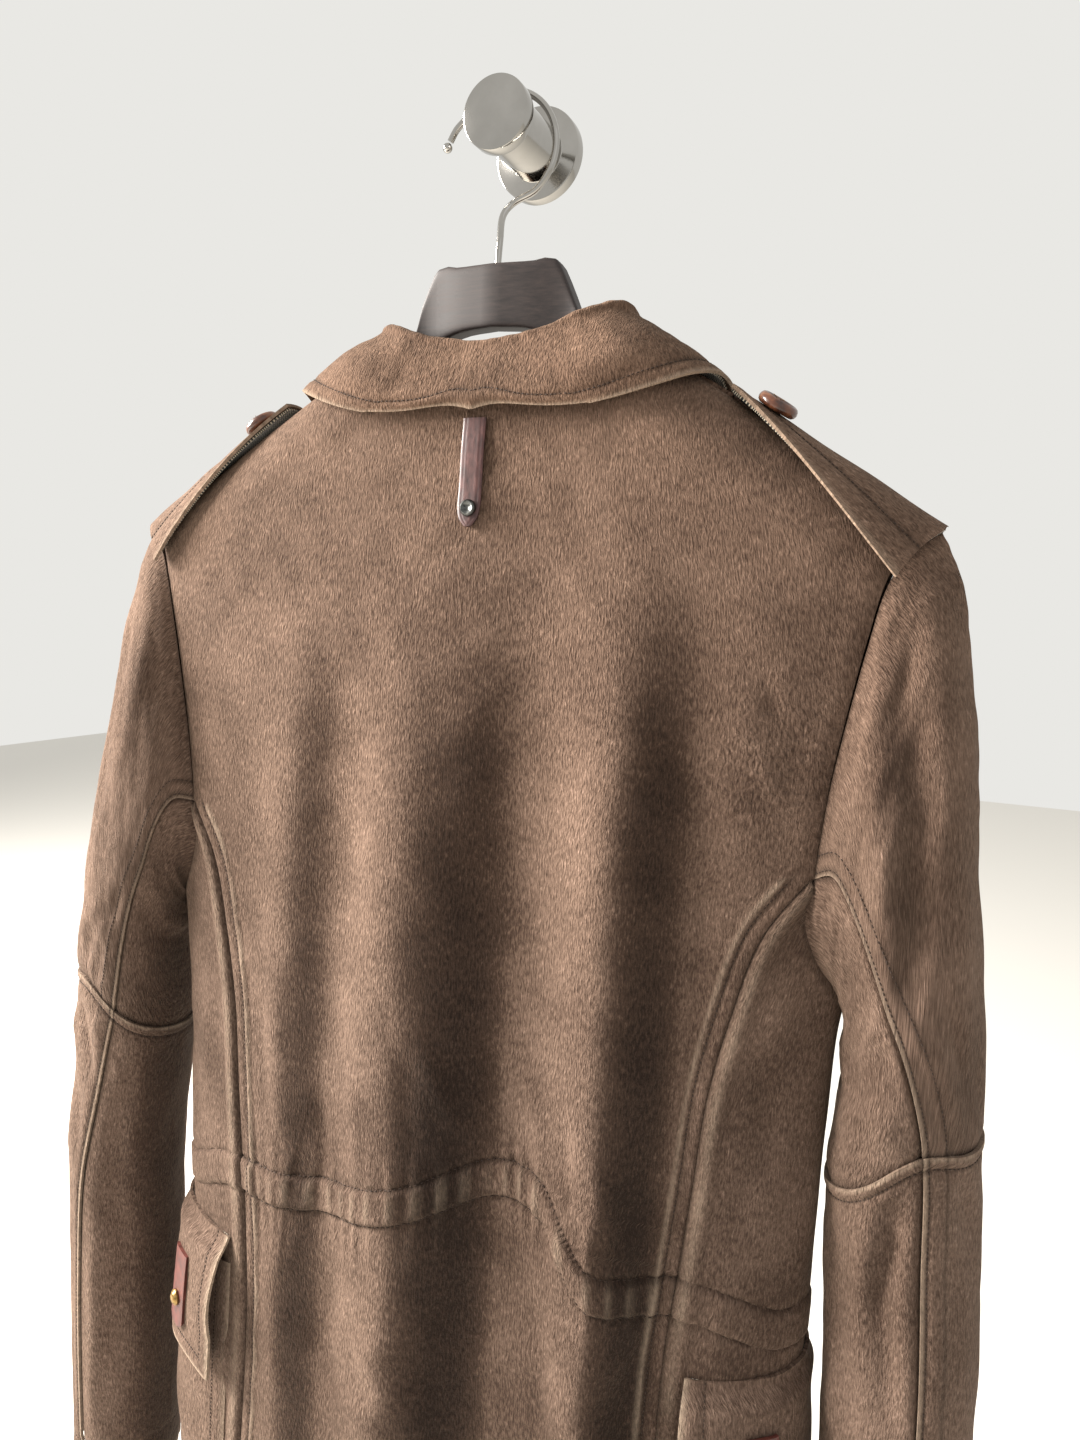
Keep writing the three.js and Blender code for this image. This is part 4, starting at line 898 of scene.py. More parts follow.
# Painted light and shade: cloth that turns right, away from the window light on the left, is
# painted darker; cloth that turns left is painted a little lighter near the top and a little darker
# low down.
painted_light_slope = (folds_at(x + 1, z, BACK_FOLDS) - folds_at(x - 1, z, BACK_FOLDS)) / 2
painted_light_low_share = smoothstep(-z, 380, 620)
tone = tone + 0.5 * np.minimum(painted_light_slope, 0) * (1 + 0.5 * painted_light_low_share)
tone = tone + np.maximum(painted_light_slope, 0) * (0.12 - 0.22 * painted_light_low_share)
crackle = np.clip(hump(np.hypot(x - 160, z + 320), 40), 0, 1)
away = away_of(x, back_down)
back_relief = raised(back_points, away, relief)
back = cloth("back_cloth", back_relief, (0, -1, 0), BODY_SUEDE,
             looks=looks_of(x.shape, worn, shade, tone, crackle))
print("back panel", back_points.shape)

# %% [markdown]
# ## Rows of sewing
#
# A lockstitch shows as short thread beads in a shallow groove. Each row follows a line
# at a fixed distance from a seam, found on the finished relief. One small faceted bead
# is placed for every stitch, so a row of hundreds stays light.

# %% Stitch rows
STITCH_ROWS = {}


def line_on(points, away, value, level, axis, wanted=None):
    """Where value crosses level on a grid: the places, and the ways out of the cloth."""
    normals = grid_normals(points, away)
    grid = np.moveaxis(points, axis, 0)
    out = np.moveaxis(normals, axis, 0)
    high = np.moveaxis(np.broadcast_to(value, points.shape[:2]), axis, 0) - level
    crossing = high[:-1] * high[1:] <= 0
    if wanted is not None:
        crossing = crossing & np.moveaxis(wanted, axis, 0)[:-1]
    found = np.nonzero(crossing.any(0))[0]
    i = crossing.argmax(0)[found]
    a, b = high[i, found], high[i + 1, found]
    t = (a / np.where(a == b, 1, a - b))[:, None]
    return (grid[i, found] * (1 - t) + grid[i + 1, found] * t,
            out[i, found] * (1 - t) + out[i + 1, found] * t)


def sew(name, line, pitch=2.5, long=1.8, wide=0.62, lift=0.12):
    """Keeps a stitch row for a piece; rows are made into mesh later."""
    spots, out = line
    if len(spots) < 3:
        return
    run = run_along(spots, 0)
    if run[-1] < pitch * 2:
        return
    rng = random.Random(len(spots))
    at = np.arange(pitch / 2, run[-1], pitch)
    at = at + np.array([rng.uniform(-0.12, 0.12) for _ in at]) * pitch

    def read(values, further=0):
        return np.stack([np.interp(at + further, run, values[:, k]) for k in range(3)], -1)

    normal = read(out)
    normal /= np.linalg.norm(normal, axis=-1, keepdims=True)
    centre = to_room(read(spots) + normal * lift)
    ahead = turned_to_room(read(spots, 0.8) - read(spots, -0.8))
    STITCH_ROWS.setdefault(name, []).append((centre, ahead, turned_to_room(normal), long, wide))


def make_stitches(name, material):
    """One mesh with a bead for each stitch of the rows kept under a name."""
    bm = bmesh.new()
    for centre, ahead, normal, long, wide in STITCH_ROWS[name]:
        for spot, way, out in zip(centre, ahead, normal):
            x_axis = Vector(way).normalized()
            y_axis = Vector(out).cross(x_axis).normalized()
            z_axis = x_axis.cross(y_axis)
            size = (long / 2 * MM, wide / 2 * MM, wide / 2 * MM)
            axes = [axis * s for axis, s in zip((x_axis, y_axis, z_axis), size)]
            turn = Matrix(axes).transposed()
            place = Matrix.Translation(Vector(spot)) @ turn.to_4x4()
            bmesh.ops.create_icosphere(bm, subdivisions=1, radius=1, matrix=place)
    obj = finished(from_bmesh(f"stitches_{name}", bm, material))
    print(f"{obj.name}: {len(obj.data.polygons) // 20} stitches")


for side in (-1, 1):
    off_side = np.where(side * x > 0, seam_off, 999)
    sew("back", line_on(back_relief, away, off_side, 7.6, 1, below & (side * x > 5)))
    sew("back", line_on(back_relief, away, off_side, 1.1, 1, below & (side * x > 5)), lift=-0.1)
sew("back", line_on(back_relief, away, z - top, 0, 0), pitch=3.1, long=2.2)
sew("back", line_on(back_relief, away, z - top, -CASING_WIDTH, 0), pitch=3.1, long=2.2)
sew("back", line_on(back_relief, away, z, HEM_ROW_Z, 0), pitch=3.1, long=2.2)

# %% [markdown]
# ## Joining each cloth piece
#
# Each finished piece rides on the jacket and takes the place of its solids.

# %% Join a finished sheet to the jacket


def declare(obj, points, *nodes, slot="suede", rests_on=("hanger",), held="hung"):
    """Rides on the jacket and replaces its solids."""
    finished(obj, *nodes, slot=slot)


declare(back, back_points, "back_panel", held="gathered")

# %% [markdown]
# ## Side panels
#
# Each side panel runs from the back's princess seam round the side to the front seam.
# Beside the princess seam its edge is a second raised band with a soft drop.

# %% Side panels
PLACES = np.concatenate((np.linspace(0, 0.2, 22)[:-1], np.linspace(0.2, 0.85, 34)[:-1],
                         np.linspace(0.85, 1, 14)))
SIDE_CREASES = {
    1: [(14, -640, 30, -760, 9, -2.2), (40, -610, 44, -820, 12, 2.4), (22, -450, 44, -520, 8, -1.6),
        (60, -480, 40, -560, 9, 1.4), (72, -620, 78, -800, 10, -2.0)],
    -1: [(16, -630, 26, -780, 9, 2.0), (36, -612, 40, -820, 10, -1.8), (26, -470, 40, -540, 8, 1.4),
         (62, -500, 50, -570, 9, -1.2)]}


def side_panel(side, name):
    tops = side_top_z(PLACES)
    levels = spread(0, 1, 1 / 128, (0, 0.02, 0.004), (0.52, 0.62, 0.0042))[:, None]
    z = HEM_Z + levels * (tops - HEM_Z)
    turn = side_turn(PLACES, z)
    points = ring_point(side, turn, z)
    from_back = run_along(points, 1)
    to_front = from_back[:, -1:] - from_back
    top = mix(casing_z(side * 128.0 + 0 * z), CASING_SIDE_Z, smoothstep(PLACES + 0 * z, 0, 0.4))
    relief = creases(from_back, z, SIDE_CREASES[side]) * smoothstep(from_back, 6, 20)
    relief = relief + 0.6 * wobble(from_back, z, 21 + side, 40) * smoothstep(from_back, 4, 16)
    band = 1.5 * smoothstep(from_back, 0.5, 2.6) * (1 - smoothstep(from_back, 7.5, 12))
    relief = relief + band - 1.7 * hump(from_back, 1.2) - 1.2 * hump(to_front, 2.4)
    relief = relief + casing_relief(from_back + 300, z, top, 0.45, 18)
    relief = relief - 1.0 * hump(z - HEM_ROW_Z, 1.1)
    under = tops - z
    relief = relief - 1.2 * hump(under, 3)
    worn = 0.3 * hump(from_back - 5.0, 2.4) * (0.6 + 0.4 * wobble(from_back, z, 23, 30))
    worn = worn + 0.3 * hump(z - HEM_Z, 4)
    shade = 0.75 * hump(from_back, 1.3) + 0.5 * hump(to_front, 1.3) + 0.4 * hump(under, 2)
    shade = shade + 0.3 * (hump(z - top, 1.2) + hump(z - top + CASING_WIDTH, 1.2))
    tone = 0.48 + 0.06 * wobble(from_back, z, 25 + side, 60)
    # Painted shade: the right side panel below the casing, which turns away from the window light
    # and lies under the pocket flap, is painted darker.
    if side > 0:
        tone = tone - 0.2 * smoothstep(from_back, 14, 40) * smoothstep(-z, 590, 650)
    away = ring_away(side, turn, z)
    sewn = raised(points, away, relief)
    piece = cloth(f"side_cloth_{name}", sewn, (side, 0, 0), BODY_SUEDE,
                  looks=looks_of(z.shape, worn, shade, tone))
    declare(piece, points, f"side_panel_{name}")
    sew("sides", line_on(sewn, away, from_back, 9.3, 1), lift=0.05)
    for level in (0, -CASING_WIDTH):
        sew("sides", line_on(sewn, away, z - top, level, 0), pitch=3.1, long=2.2)
    sew("sides", line_on(sewn, away, z, HEM_ROW_Z, 0), pitch=3.1, long=2.2)


for side, name in SIDE_NAMES.items():
    side_panel(side, name)

# %% [markdown]
# ## Fronts, placket and buttons
#
# The fronts hang against the wall, so the photo hides them. They are finished as the
# back is: princess band, casing and armhole seam, and a button placket down the middle.

# %% Fronts


def front(side, name):
    even = np.linspace(0, 1, 74)
    share = 0.5 * even + 0.5 * (1 - (1 - even) ** 1.6)
    corner = float(armhole_z(FRONT_CORNER_TURN))
    heights = spread(HEM_Z, corner, 4.6, (-850, -842, 2), (-616, -560, 2.4))
    turns = np.linspace(FRONT_CORNER_TURN, 360, 56)
    x, down, edge = body_panel(
        1, lambda far, s: mix(0.4, far, s), share, heights, turns, FRONT_SEAM, FRONT_CORNER_TURN,
        -360, lambda x: neck_down(x, NECK_FRONT, 0.7))
    x = side * x
    points = over_shoulder(x, down)
    z = points[..., 2]
    seam_off = edge - np.abs(x)
    top = casing_z(x, False)
    low = 1 - smoothstep(z, -394, -380)
    relief = 1.1 * wobble(x, z, 31 + side, 60) + 0.4 * wobble(x, z, 33, 20)
    relief = relief * smoothstep(np.abs(x), 14, 40) * (1 - hump(seam_off, 10))
    relief = relief + band_relief(seam_off) * low - 1.5 * hump(seam_off, 2.6) * (1 - low)
    relief = relief + casing_relief(x, z, top, 0.5, 20) * smoothstep(np.abs(x), 18, 30)
    relief = relief - 1.0 * hump(z - HEM_ROW_Z, 1.1)
    worn = 0.6 * hump(seam_off - 10.3, 1.2) * low + 0.3 * hump(z - HEM_Z, 4)
    shade = 0.7 * hump(seam_off, 1.3) + 0.3 * hump(seam_off - 7.6, 0.9) * low
    shade = shade + 0.3 * (hump(z - top, 1.2) + hump(z - top + CASING_WIDTH, 1.2))
    tone = 0.5 + 0.07 * wobble(x, z, 35 + side, 70)
    away = away_of(x, down)
    sewn = raised(points, away, relief)
    piece = cloth(f"front_cloth_{name}", sewn, (0, 1, 0), BODY_SUEDE,
                  looks=looks_of(x.shape, worn, shade, tone))
    declare(piece, points, f"front_{name}")
    sew("fronts", line_on(sewn, away, seam_off, 7.6, 1, z < -396))
    for level in (0, -CASING_WIDTH):
        sew("fronts", line_on(sewn, away, z - top, level, 0, np.abs(x) > 18), pitch=3.1, long=2.2)
    sew("fronts", line_on(sewn, away, z, HEM_ROW_Z, 0, np.abs(x) > 18), pitch=3.1, long=2.2)


for side, name in SIDE_NAMES.items():
    front(side, name)

# %% Placket and sewn-on buttons
down = np.linspace(150, float(down_to(0, -849)), 200)[:, None]
x = np.linspace(-17, 17, 26)[None, :] + 0 * down
rim, row = 17 - np.abs(x), np.abs(x) - 13
off = 2.9 + 0.25 * wobble(x, down, 41, 30) - 0.6 * hump(rim, 1.4) - 0.5 * hump(row, 0.9)
looks = looks_of(x.shape, 0.5 * hump(rim, 1.5), 0.3 * hump(row, 0.9),
                 0.52 + 0.06 * wobble(x, down, 42, 50))
placket = cloth("placket_cloth", off_shoulder(x, down + 0 * x, off), (0, 1, 0), BODY_SUEDE, 2.0,
                looks=looks)
declare(placket, over_shoulder(x, down + 0 * x), "front_placket")


def frame_on(surface, off, a, b, away):
    """A 4x4 place in the room: Z out of the surface, Y along the surface's second way."""
    point = surface(np.array(a, float), np.array(b, float))
    normal = outward(surface, np.array(a, float), np.array(b, float), np.array(away, float))
    along = surface(np.array(a, float), np.array(b + 1.0)) - point
    z_axis = Vector(turned_to_room(normal))
    x_axis = Vector(turned_to_room(along)).cross(z_axis).normalized()
    y_axis = z_axis.cross(x_axis)
    place = Matrix((x_axis, y_axis, z_axis)).transposed().to_4x4()
    place.translation = Vector(to_room(point + normal * off))
    return place


def turned_shape(name, profile, material, place, steps=40):
    """A lathe shape: (radius, height) millimetres spun once round Z, then put in place."""
    bm = bmesh.new()
    points = [bm.verts.new((r * MM, 0, h * MM)) for r, h in profile]
    edges = [bm.edges.new(pair) for pair in zip(points, points[1:])]
    bmesh.ops.spin(bm, geom=points + edges, axis=(0, 0, 1), cent=(0, 0, 0), angle=2 * math.pi,
                   steps=steps, use_merge=True)
    bmesh.ops.remove_doubles(bm, verts=bm.verts, dist=1e-6)
    bmesh.ops.recalc_face_normals(bm, faces=bm.faces)
    bmesh.ops.transform(bm, matrix=place, verts=bm.verts)
    return from_bmesh(name, bm, material, sharp=40)


BUTTON_PROFILE = [(0, 3.2), (1.2, 3.3), (4.2, 3.5), (6.2, 4.3), (7.2, 5.2), (8.2, 5.5), (9.3, 5.0),
                  (10.0, 3.9), (10.3, 2.4), (9.8, 1.0), (8.8, 0.2), (4, 0), (0, 0)]


def button(name, place, node, seed):
    """A turned resin button, with its thread cross and loose ends."""
    dish = turned_shape(name, BUTTON_PROFILE, BUTTON_HORN, place, 48)
    finished(dish, node, slot="button")
    rng = random.Random(seed)
    bm = bmesh.new()
    strands = [((-1.7, -1.7), (1.7, -1.7)), ((-1.7, 1.7), (1.7, 1.7)), ((-1.5, -1.7), (1.5, 1.7))]
    for (x0, y0), (x1, y1) in strands:
        for shift in (-0.35, 0.35):
            thread_piece(bm, [(x0, y0 + shift, 3.0), (x0 * 0.5, y0 * 0.7 + shift, 4.1),
                              (x1 * 0.5, y1 * 0.7 + shift, 4.1), (x1, y1 + shift, 3.0)], 0.32)
    for _ in range(2):
        angle = rng.uniform(3.6, 5.4)
        reach = rng.uniform(5, 8)
        half, curl = reach * 0.5, angle + 0.3
        thread_piece(bm, [(0, 0, 4.0), (half * math.cos(angle), half * math.sin(angle), 5.6),
                          (reach * math.cos(curl), reach * math.sin(curl), 6.2)], 0.22)
    bmesh.ops.recalc_face_normals(bm, faces=bm.faces)
    bmesh.ops.transform(bm, matrix=place, verts=bm.verts)
    finished(from_bmesh(f"{name}_thread", bm, PALE_THREAD, smooth=False))


def thread_piece(bm, path_mm, radius_mm):
    """A thin five-sided thread along a path, from rings bridged one to the next."""
    path = [Vector(p) * MM for p in path_mm]
    rings = []
    for k, point in enumerate(path):
        along = (path[min(k + 1, len(path) - 1)] - path[max(k - 1, 0)]).normalized()
        turn = along.to_track_quat("Z", "Y").to_matrix().to_4x4()
        made = bmesh.ops.create_circle(
            bm, cap_ends=k in (0, len(path) - 1), segments=5, radius=radius_mm * MM,
            matrix=Matrix.Translation(point) @ turn)
        rings.append({edge for vert in made["verts"] for edge in vert.link_edges})
    for ring, after in zip(rings, rings[1:]):
        bmesh.ops.bridge_loops(bm, edges=list(ring | after))


for k in range(5):
    place = frame_on(over_shoulder, 3.2, 0, 172 + 128 * k, (0, 1, 0))
    button(f"front_button_{k + 1}_horn", place, f"front_button_{k + 1}", k)
print("placket and buttons made")

# %% [markdown]
# ## Sleeves
#
# Each sleeve is a bent tube of two upper and two lower pieces. Rings of points follow
# its section from the armhole down, and each piece takes its own part of the rings. The
# lower sleeve laps over the upper one at the elbow seam.

# %% The sleeve's surface


def section(side, ring, degrees):
    """A point of the sleeve's section by ring and turn."""
    shift = LEFT_OUTWARD.shift(ring) if side < 0 else 0
    turn = np.radians(degrees)
    inner_x, inner_z = SLEEVE.inX(ring) + shift, SLEEVE.inZ(ring)
    half_x = (SLEEVE.outX(ring) + shift - inner_x) / 2
    half_z = (SLEEVE.outZ(ring) - inner_z) / 2
    length = np.hypot(half_x, half_z)
    cut = SLEEVE.cut(ring) * np.sin(turn) ** 2
    back, fore = SLEEVE.back(ring), SLEEVE.front(ring)
    return points_of(side * (inner_x + half_x + half_x * np.cos(turn) - cut * half_z / length),
                     (back + fore) / 2 + (back - fore) / 2 * np.sin(turn),
                     inner_z + half_z + half_z * np.cos(turn) + cut * half_x / length)


def sleeve_point(side, ring, degrees):
    ring, degrees = np.broadcast_arrays(np.asarray(ring, float), np.asarray(degrees, float))
    reach = np.maximum(1 - ring / 3, 0) ** 2
    pull = armhole_point(side, degrees) - section(side, 0 * ring, degrees)
    point = section(side, ring, degrees) + pull * reach[..., None]
    off = (((degrees + 180) % 360) - 180 - 78) / 34
    point[..., 2] += 13 * np.exp(-((ring - 6) / 1.2) ** 2) * np.exp(-off ** 2)
    return point


def sleeve_away(side, ring, degrees):
    turn = np.radians(degrees)
    upright = np.clip(1 - ring / 6, 0, 1)
    return points_of(side * np.cos(turn) * (1 - 0.4 * upright), -np.sin(turn),
                     upright * np.maximum(np.cos(turn), 0))


print("elbow outside at", sleeve_point(1, 6, 0).round(1))

# %% Sleeve pieces
MM_RING = 36

# Creases: ring and turn of both ends, half width in mm, and height.
SLEEVE_CREASES = {
    ("upper", 1): [(0.4, 46, 4.6, 80, 12, -4.2), (0.5, 72, 4.6, 106, 10, 1.8),
                   (1.2, 24, 5.2, 52, 14, 2.2), (4.2, 120, 5.9, 60, 6, -2.2),
                   (4.6, 100, 5.8, 40, 6, 1.8), (5.0, 130, 5.9, 84, 5, 2.0),
                   (3.6, 150, 5.6, 118, 8, -2.6), (2.2, 190, 4.6, 150, 8, 2.2),
                   (5.1, 60, 5.8, 10, 5, -1.6)],
    ("upper", -1): [(1.0, 30, 4.8, 62, 9, -2.8), (0.8, 60, 3.6, 78, 9, 1.8),
                    (4.0, 118, 5.9, 70, 6, -1.6), (4.8, 108, 5.9, 40, 6, 2.0),
                    (5.2, 60, 5.9, 0, 5, -2.0), (4.9, 30, 5.7, -20, 5, 1.6),
                    (3.0, 140, 5.4, 126, 8, -2.4), (0.6, 150, 3.4, 140, 8, 1.8),
                    (5.3, 100, 5.9, 84, 4, -1.3)],
    ("lower", 1): [(6.3, 98, 8.4, 98, 7, -5.2), (6.6, 78, 9.2, 72, 9, 2.6),
                   (6.4, 118, 7.6, 112, 6, 2.6), (8.2, 70, 10.6, 100, 9, -2.6),
                   (6.3, 50, 7.2, 20, 7, -1.8), (9.4, 64, 10.9, 54, 9, 2.0),
                   (6.6, 150, 8.8, 130, 8, -2.6)],
    ("lower", -1): [(6.3, 60, 7.4, 92, 5, -2.8), (6.5, 30, 7.6, 70, 6, 2.4),
                    (6.4, 92, 7.2, 120, 5, 2.2), (7.0, 40, 8.2, 86, 6, -2.2),
                    (7.5, 120, 10.0, 128, 8, -3.0), (8.2, 60, 10.6, 70, 9, -2.2),
                    (8.6, 100, 10.8, 96, 8, 2.2), (6.5, 132, 8.2, 140, 6, 2.0)]}


def sleeve_piece(level, part, side, hand):
    """One of the four cut pieces of a sleeve."""
    upper, outer = level == "upper", part == "outer"
    rings = spread(0, 6, 0.056) if upper else spread(6, 11, 0.05, (6, 6.3, 0.02))
    seam = getattr(SLEEVE_SEAM, hand)(rings)[:, None]
    first, last = (-150, seam) if outer else (seam, 210)
    even = np.linspace(0, 1, 110 if outer else 44)[None, :]
    share = even if not outer else 0.6 * even + 0.4 * even ** 2 * (3 - 2 * even)
    degrees = first + (last - first) * share
    ring = rings[:, None] + 0 * degrees
    points = sleeve_point(side, ring, degrees)
    z = points[..., 2]
    run = run_along(points, 1)
    from_seam = run[:, -1:] - run if outer else run
    from_other = run if outer else run[:, -1:] - run
    height = run_along(points, 0)
    to_end = height[-1:] - height
    mm_turn = float(run[:, -1].mean() / abs(np.mean(degrees[:, -1] - degrees[:, 0])))
    rows = [(a * MM_RING, b * mm_turn, c * MM_RING, d * mm_turn, w, h)
            for a, b, c, d, w, h in SLEEVE_CREASES[level, side]]
    turned, fallen = ((degrees + 180) % 360 - 180) * mm_turn, ring * MM_RING
    relief = creases(fallen, turned, rows)
    seed = 60 + (side > 0) + 2 * upper + 4 * outer
    relief = relief + 0.8 * wobble(fallen, turned, seed, 44)
    relief = relief + 0.3 * wobble(fallen, turned, seed + 9, 16)
    relief = relief * smoothstep(from_seam, 1, 12) * smoothstep(from_other, 1, 8)
    lap = 0.8 * (1 - smoothstep(from_seam, 11.5, 13.5)) if outer else 0
    rows_sewn = hump(from_seam - 2.4, 0.9) + hump(from_seam - 11, 0.9) if outer else 0 * z
    relief = relief + lap - 0.5 * rows_sewn - 0.9 * hump(from_other, 1.4)
    relief = relief - (0.1 if outer else 1.6) * hump(from_seam, 1.5)
    worn = 0.45 * hump(from_seam - 0.6, 1.3) if outer else 0 * z
    shade = 0.5 * rows_sewn + 0.5 * hump(from_other, 1.1)
    shade = shade + (0 if outer else 0.8) * hump(from_seam, 1.8)
    if upper:
        relief = relief * smoothstep(height, 0, 14) + 0.9 * smoothstep(height, 0, 7)
        relief = relief - 1.2 * hump(to_end, 4)
        shade = shade + 0.35 * hump(height, 1.1) + 0.6 * hump(to_end, 2)
    else:
        lip = 1 - smoothstep(height, 2.2, 6.5)
        relief = relief * smoothstep(height, 3, 14) + 1.2 * lip - 0.5 * hump(height - 6.6, 0.9)
        worn = worn + 0.5 * hump(height - 0.8, 1.3) * (0.6 + 0.4 * wobble(turned, z, 71, 12))
        relief = relief - 0.8 * hump(to_end - 22, 1.1)
        worn = worn + 0.5 * hump(to_end, 3)
        shade = shade + 0.5 * hump(height - 6.6, 0.8)
    tone = 0.5 + 0.06 * wobble(fallen, turned, seed + 3, 60)
    # Painted shade: the left sleeve's inner side, in the shade of the gap by the body, is painted
    # darker; the right sleeve gets a painted dark streak along a trough on its back.
    if side < 0:
        tone = tone - 0.26 * smoothstep(degrees, 112, 165) * (1 - smoothstep(degrees, 200, 230))
    else:
        painted_shade_trough = (0.4 * MM_RING, 56 * mm_turn, 4.4 * MM_RING, 88 * mm_turn, 13, 1)
        tone = tone - 0.10 * creases(fallen, turned, [painted_shade_trough])
    crackle = 0.8 * hump(to_end, 40) * upper + 0.6 * hump(height, 30) * (not upper)
    name = f"sleeve_{level}_{part}_{hand}"
    away = sleeve_away(side, ring, degrees)
    sewn = raised(points, away, relief)
    piece = cloth(f"{name}_cloth", sewn, middle_away(points, away), SLEEVE_SUEDE,
                  looks=looks_of(z.shape, worn, shade, tone, crackle))
    declare(piece, points, name, rests_on=["hanger"] if upper else [f"sleeve_upper_{part}_{hand}"])
    if outer:
        sew("sleeves", line_on(sewn, away, from_seam, 2.4, 1), pitch=2.4)
        if upper:
            sew("sleeves", line_on(sewn, away, from_seam, 11, 1), pitch=2.4)
    if not upper:
        sew("sleeves", line_on(sewn, away, height, 6.6, 0), pitch=2.6)
        sew("sleeves", line_on(sewn, away, to_end, 22, 0), pitch=2.8)


def middle_away(points, away):
    """The outward direction at the face that cloth() looks at, halfway through the grid."""
    rows, columns = points.shape[:2]
    face = (rows - 1) * (columns - 1) // 2
    return away[face // (columns - 1), face % (columns - 1)]


for side, name in SIDE_NAMES.items():
    for level in ("upper", "lower"):
        for part in ("outer", "under"):
            sleeve_piece(level, part, side, name)

# %% [markdown]
# ## Collar
#
# The collar stands up from the neck seam, folds over, and falls to its edge on the
# shoulders. A curve through the edge, the fold and the seam is its section at each turn
# round the neck. Herringbone wool lines the fall from below.

# %% The collar's surface
COLLAR_OFF = ON_TOP + 3.6


def fold_point(degrees):
    """The top of the collar's fold, at a turn round the neck: 0 at the back."""
    turn = np.abs(degrees)
    x = np.sign(degrees) * COLLAR.foldX(turn)
    return points_of(x, COLLAR.foldY(turn), COLLAR.foldZ(turn) + 0.03 * x)


def through(points, count):
    """Places along a centripetal Catmull-Rom curve through rows of points."""
    p = [2 * points[0] - points[1], *points, 2 * points[-1] - points[-2]]
    spans = len(points) - 1
    out = []
    for share in np.linspace(0, spans, count):
        k = min(int(share), spans - 1)
        t = share - k
        p0, p1, p2, p3 = p[k:k + 4]
        gap = [np.maximum(np.linalg.norm(b - a, axis=-1, keepdims=True), 1e-4) ** 0.5
               for a, b in ((p0, p1), (p1, p2), (p2, p3))]
        leave = ((p1 - p0) / gap[0] - (p2 - p0) / (gap[0] + gap[1]) + (p2 - p1) / gap[1]) * gap[1]
        arrive = ((p2 - p1) / gap[1] - (p3 - p1) / (gap[1] + gap[2]) + (p3 - p2) / gap[2]) * gap[1]
        out.append((2 * p1 - 2 * p2 + leave + arrive) * t ** 3
                   + (-3 * p1 + 3 * p2 - 2 * leave - arrive) * t ** 2 + leave * t + p1)
    return np.array(out)


def collar_lines(degrees):
    """The edge, middle, five places round the fold, and the neck seam at each turn."""
    turn, side = np.abs(degrees), np.sign(degrees)
    up = np.array((0.0, 0, 1))
    path = fold_point(degrees + 2) - fold_point(degrees - 2)
    radial = np.cross(path, up)
    radial /= np.linalg.norm(radial, axis=-1, keepdims=True)
    fold = fold_point(degrees)
    outside = fold * (1, 1, 0)
    radial = np.where((radial * outside).sum(-1, keepdims=True) < 0, -radial, radial)
    edge_x, edge_down = side * COLLAR.edgeX(turn), COLLAR.edgeDown(turn)
    rad = np.radians(turn)
    neck_x = side * NECK_HALF * np.sin(rad)
    neck_d = np.where(turn < 90, -NECK_BACK * np.abs(np.cos(rad)) ** 1.6,
                      NECK_FRONT * np.abs(np.cos(rad)) ** 1.4)
    edge = off_shoulder(edge_x, edge_down, COLLAR_OFF)
    middle = off_shoulder(mix(neck_x, edge_x, 0.35), mix(neck_d, edge_down, 0.35), COLLAR_OFF + 2)
    neck = over_shoulder(neck_x, neck_d)
    flat = neck * (1, 1, 0)
    length = np.linalg.norm(flat, axis=-1, keepdims=True)
    neck = neck - flat / np.maximum(length, 1e-6) * 3.9
    arc = [fold + 5 * math.cos(math.radians(b)) * radial + 5 * (math.sin(math.radians(b)) - 1) * up
           for b in (0, 45, 90, 135, 180)]
    gap = arc[-1] - neck
    seam = neck + 1.2 * gap / np.linalg.norm(gap, axis=-1, keepdims=True)
    return np.array([edge, middle, *arc, seam])


turns = np.linspace(-159, 159, 230)
lines = collar_lines(turns)
MIDDLE_COLUMN = len(turns) // 2
print("collar edge at the back", lines[0][MIDDLE_COLUMN].round(1))

# %% Collar of suede and its wool
COLUMNS = 74
collar_points = through(lines, COLUMNS)
from_edge = run_along(collar_points, 0)
from_end = np.minimum(turns + 159, 159 - turns)[None, :] * 1.9 + 0 * from_edge
along = run_along(lines[0], 0)[None, :] + 0 * from_edge
to_seam = from_edge[-1:] - from_edge
relief = 0.7 * wobble(along, from_edge, 81, 40) + 0.3 * wobble(along, from_edge, 82, 14)
relief = relief * smoothstep(from_edge, 9, 18) * smoothstep(to_seam, 2, 10)
relief = relief + 0.5 * hump(from_edge - 5, 3.4) - 0.6 * hump(from_edge - 9.2, 1.0)
relief = relief + 0.5 * hump(from_end - 5, 3.4) - 0.6 * hump(from_end - 9.2, 1.0)
relief = relief + 0.35 * wobble(along, 0 * along, 84, 26) * hump(from_edge, 6)
worn = np.maximum(0.5 * hump(from_edge, 1.6), 0.4 * hump(from_end, 1.6))
shade = 0.5 * hump(from_edge - 9.2, 0.8) + 0.5 * hump(from_end - 9.2, 0.8)
tone = 0.55 + 0.07 * wobble(along, from_edge, 85, 50)


def collar_away(points):
    """Out of the fall over the shoulder, and out of the fold and the stand from its core."""
    core = fold_point(turns) - (0, 0, 5)
    fall = np.linspace(0, 7, points.shape[0])[:, None, None] < 1.6
    over = away_of(points[..., 0], np.where(np.abs(turns) < 90, -60.0, 60.0) + 0 * points[..., 0])
    return np.where(fall, over, points - core[None])


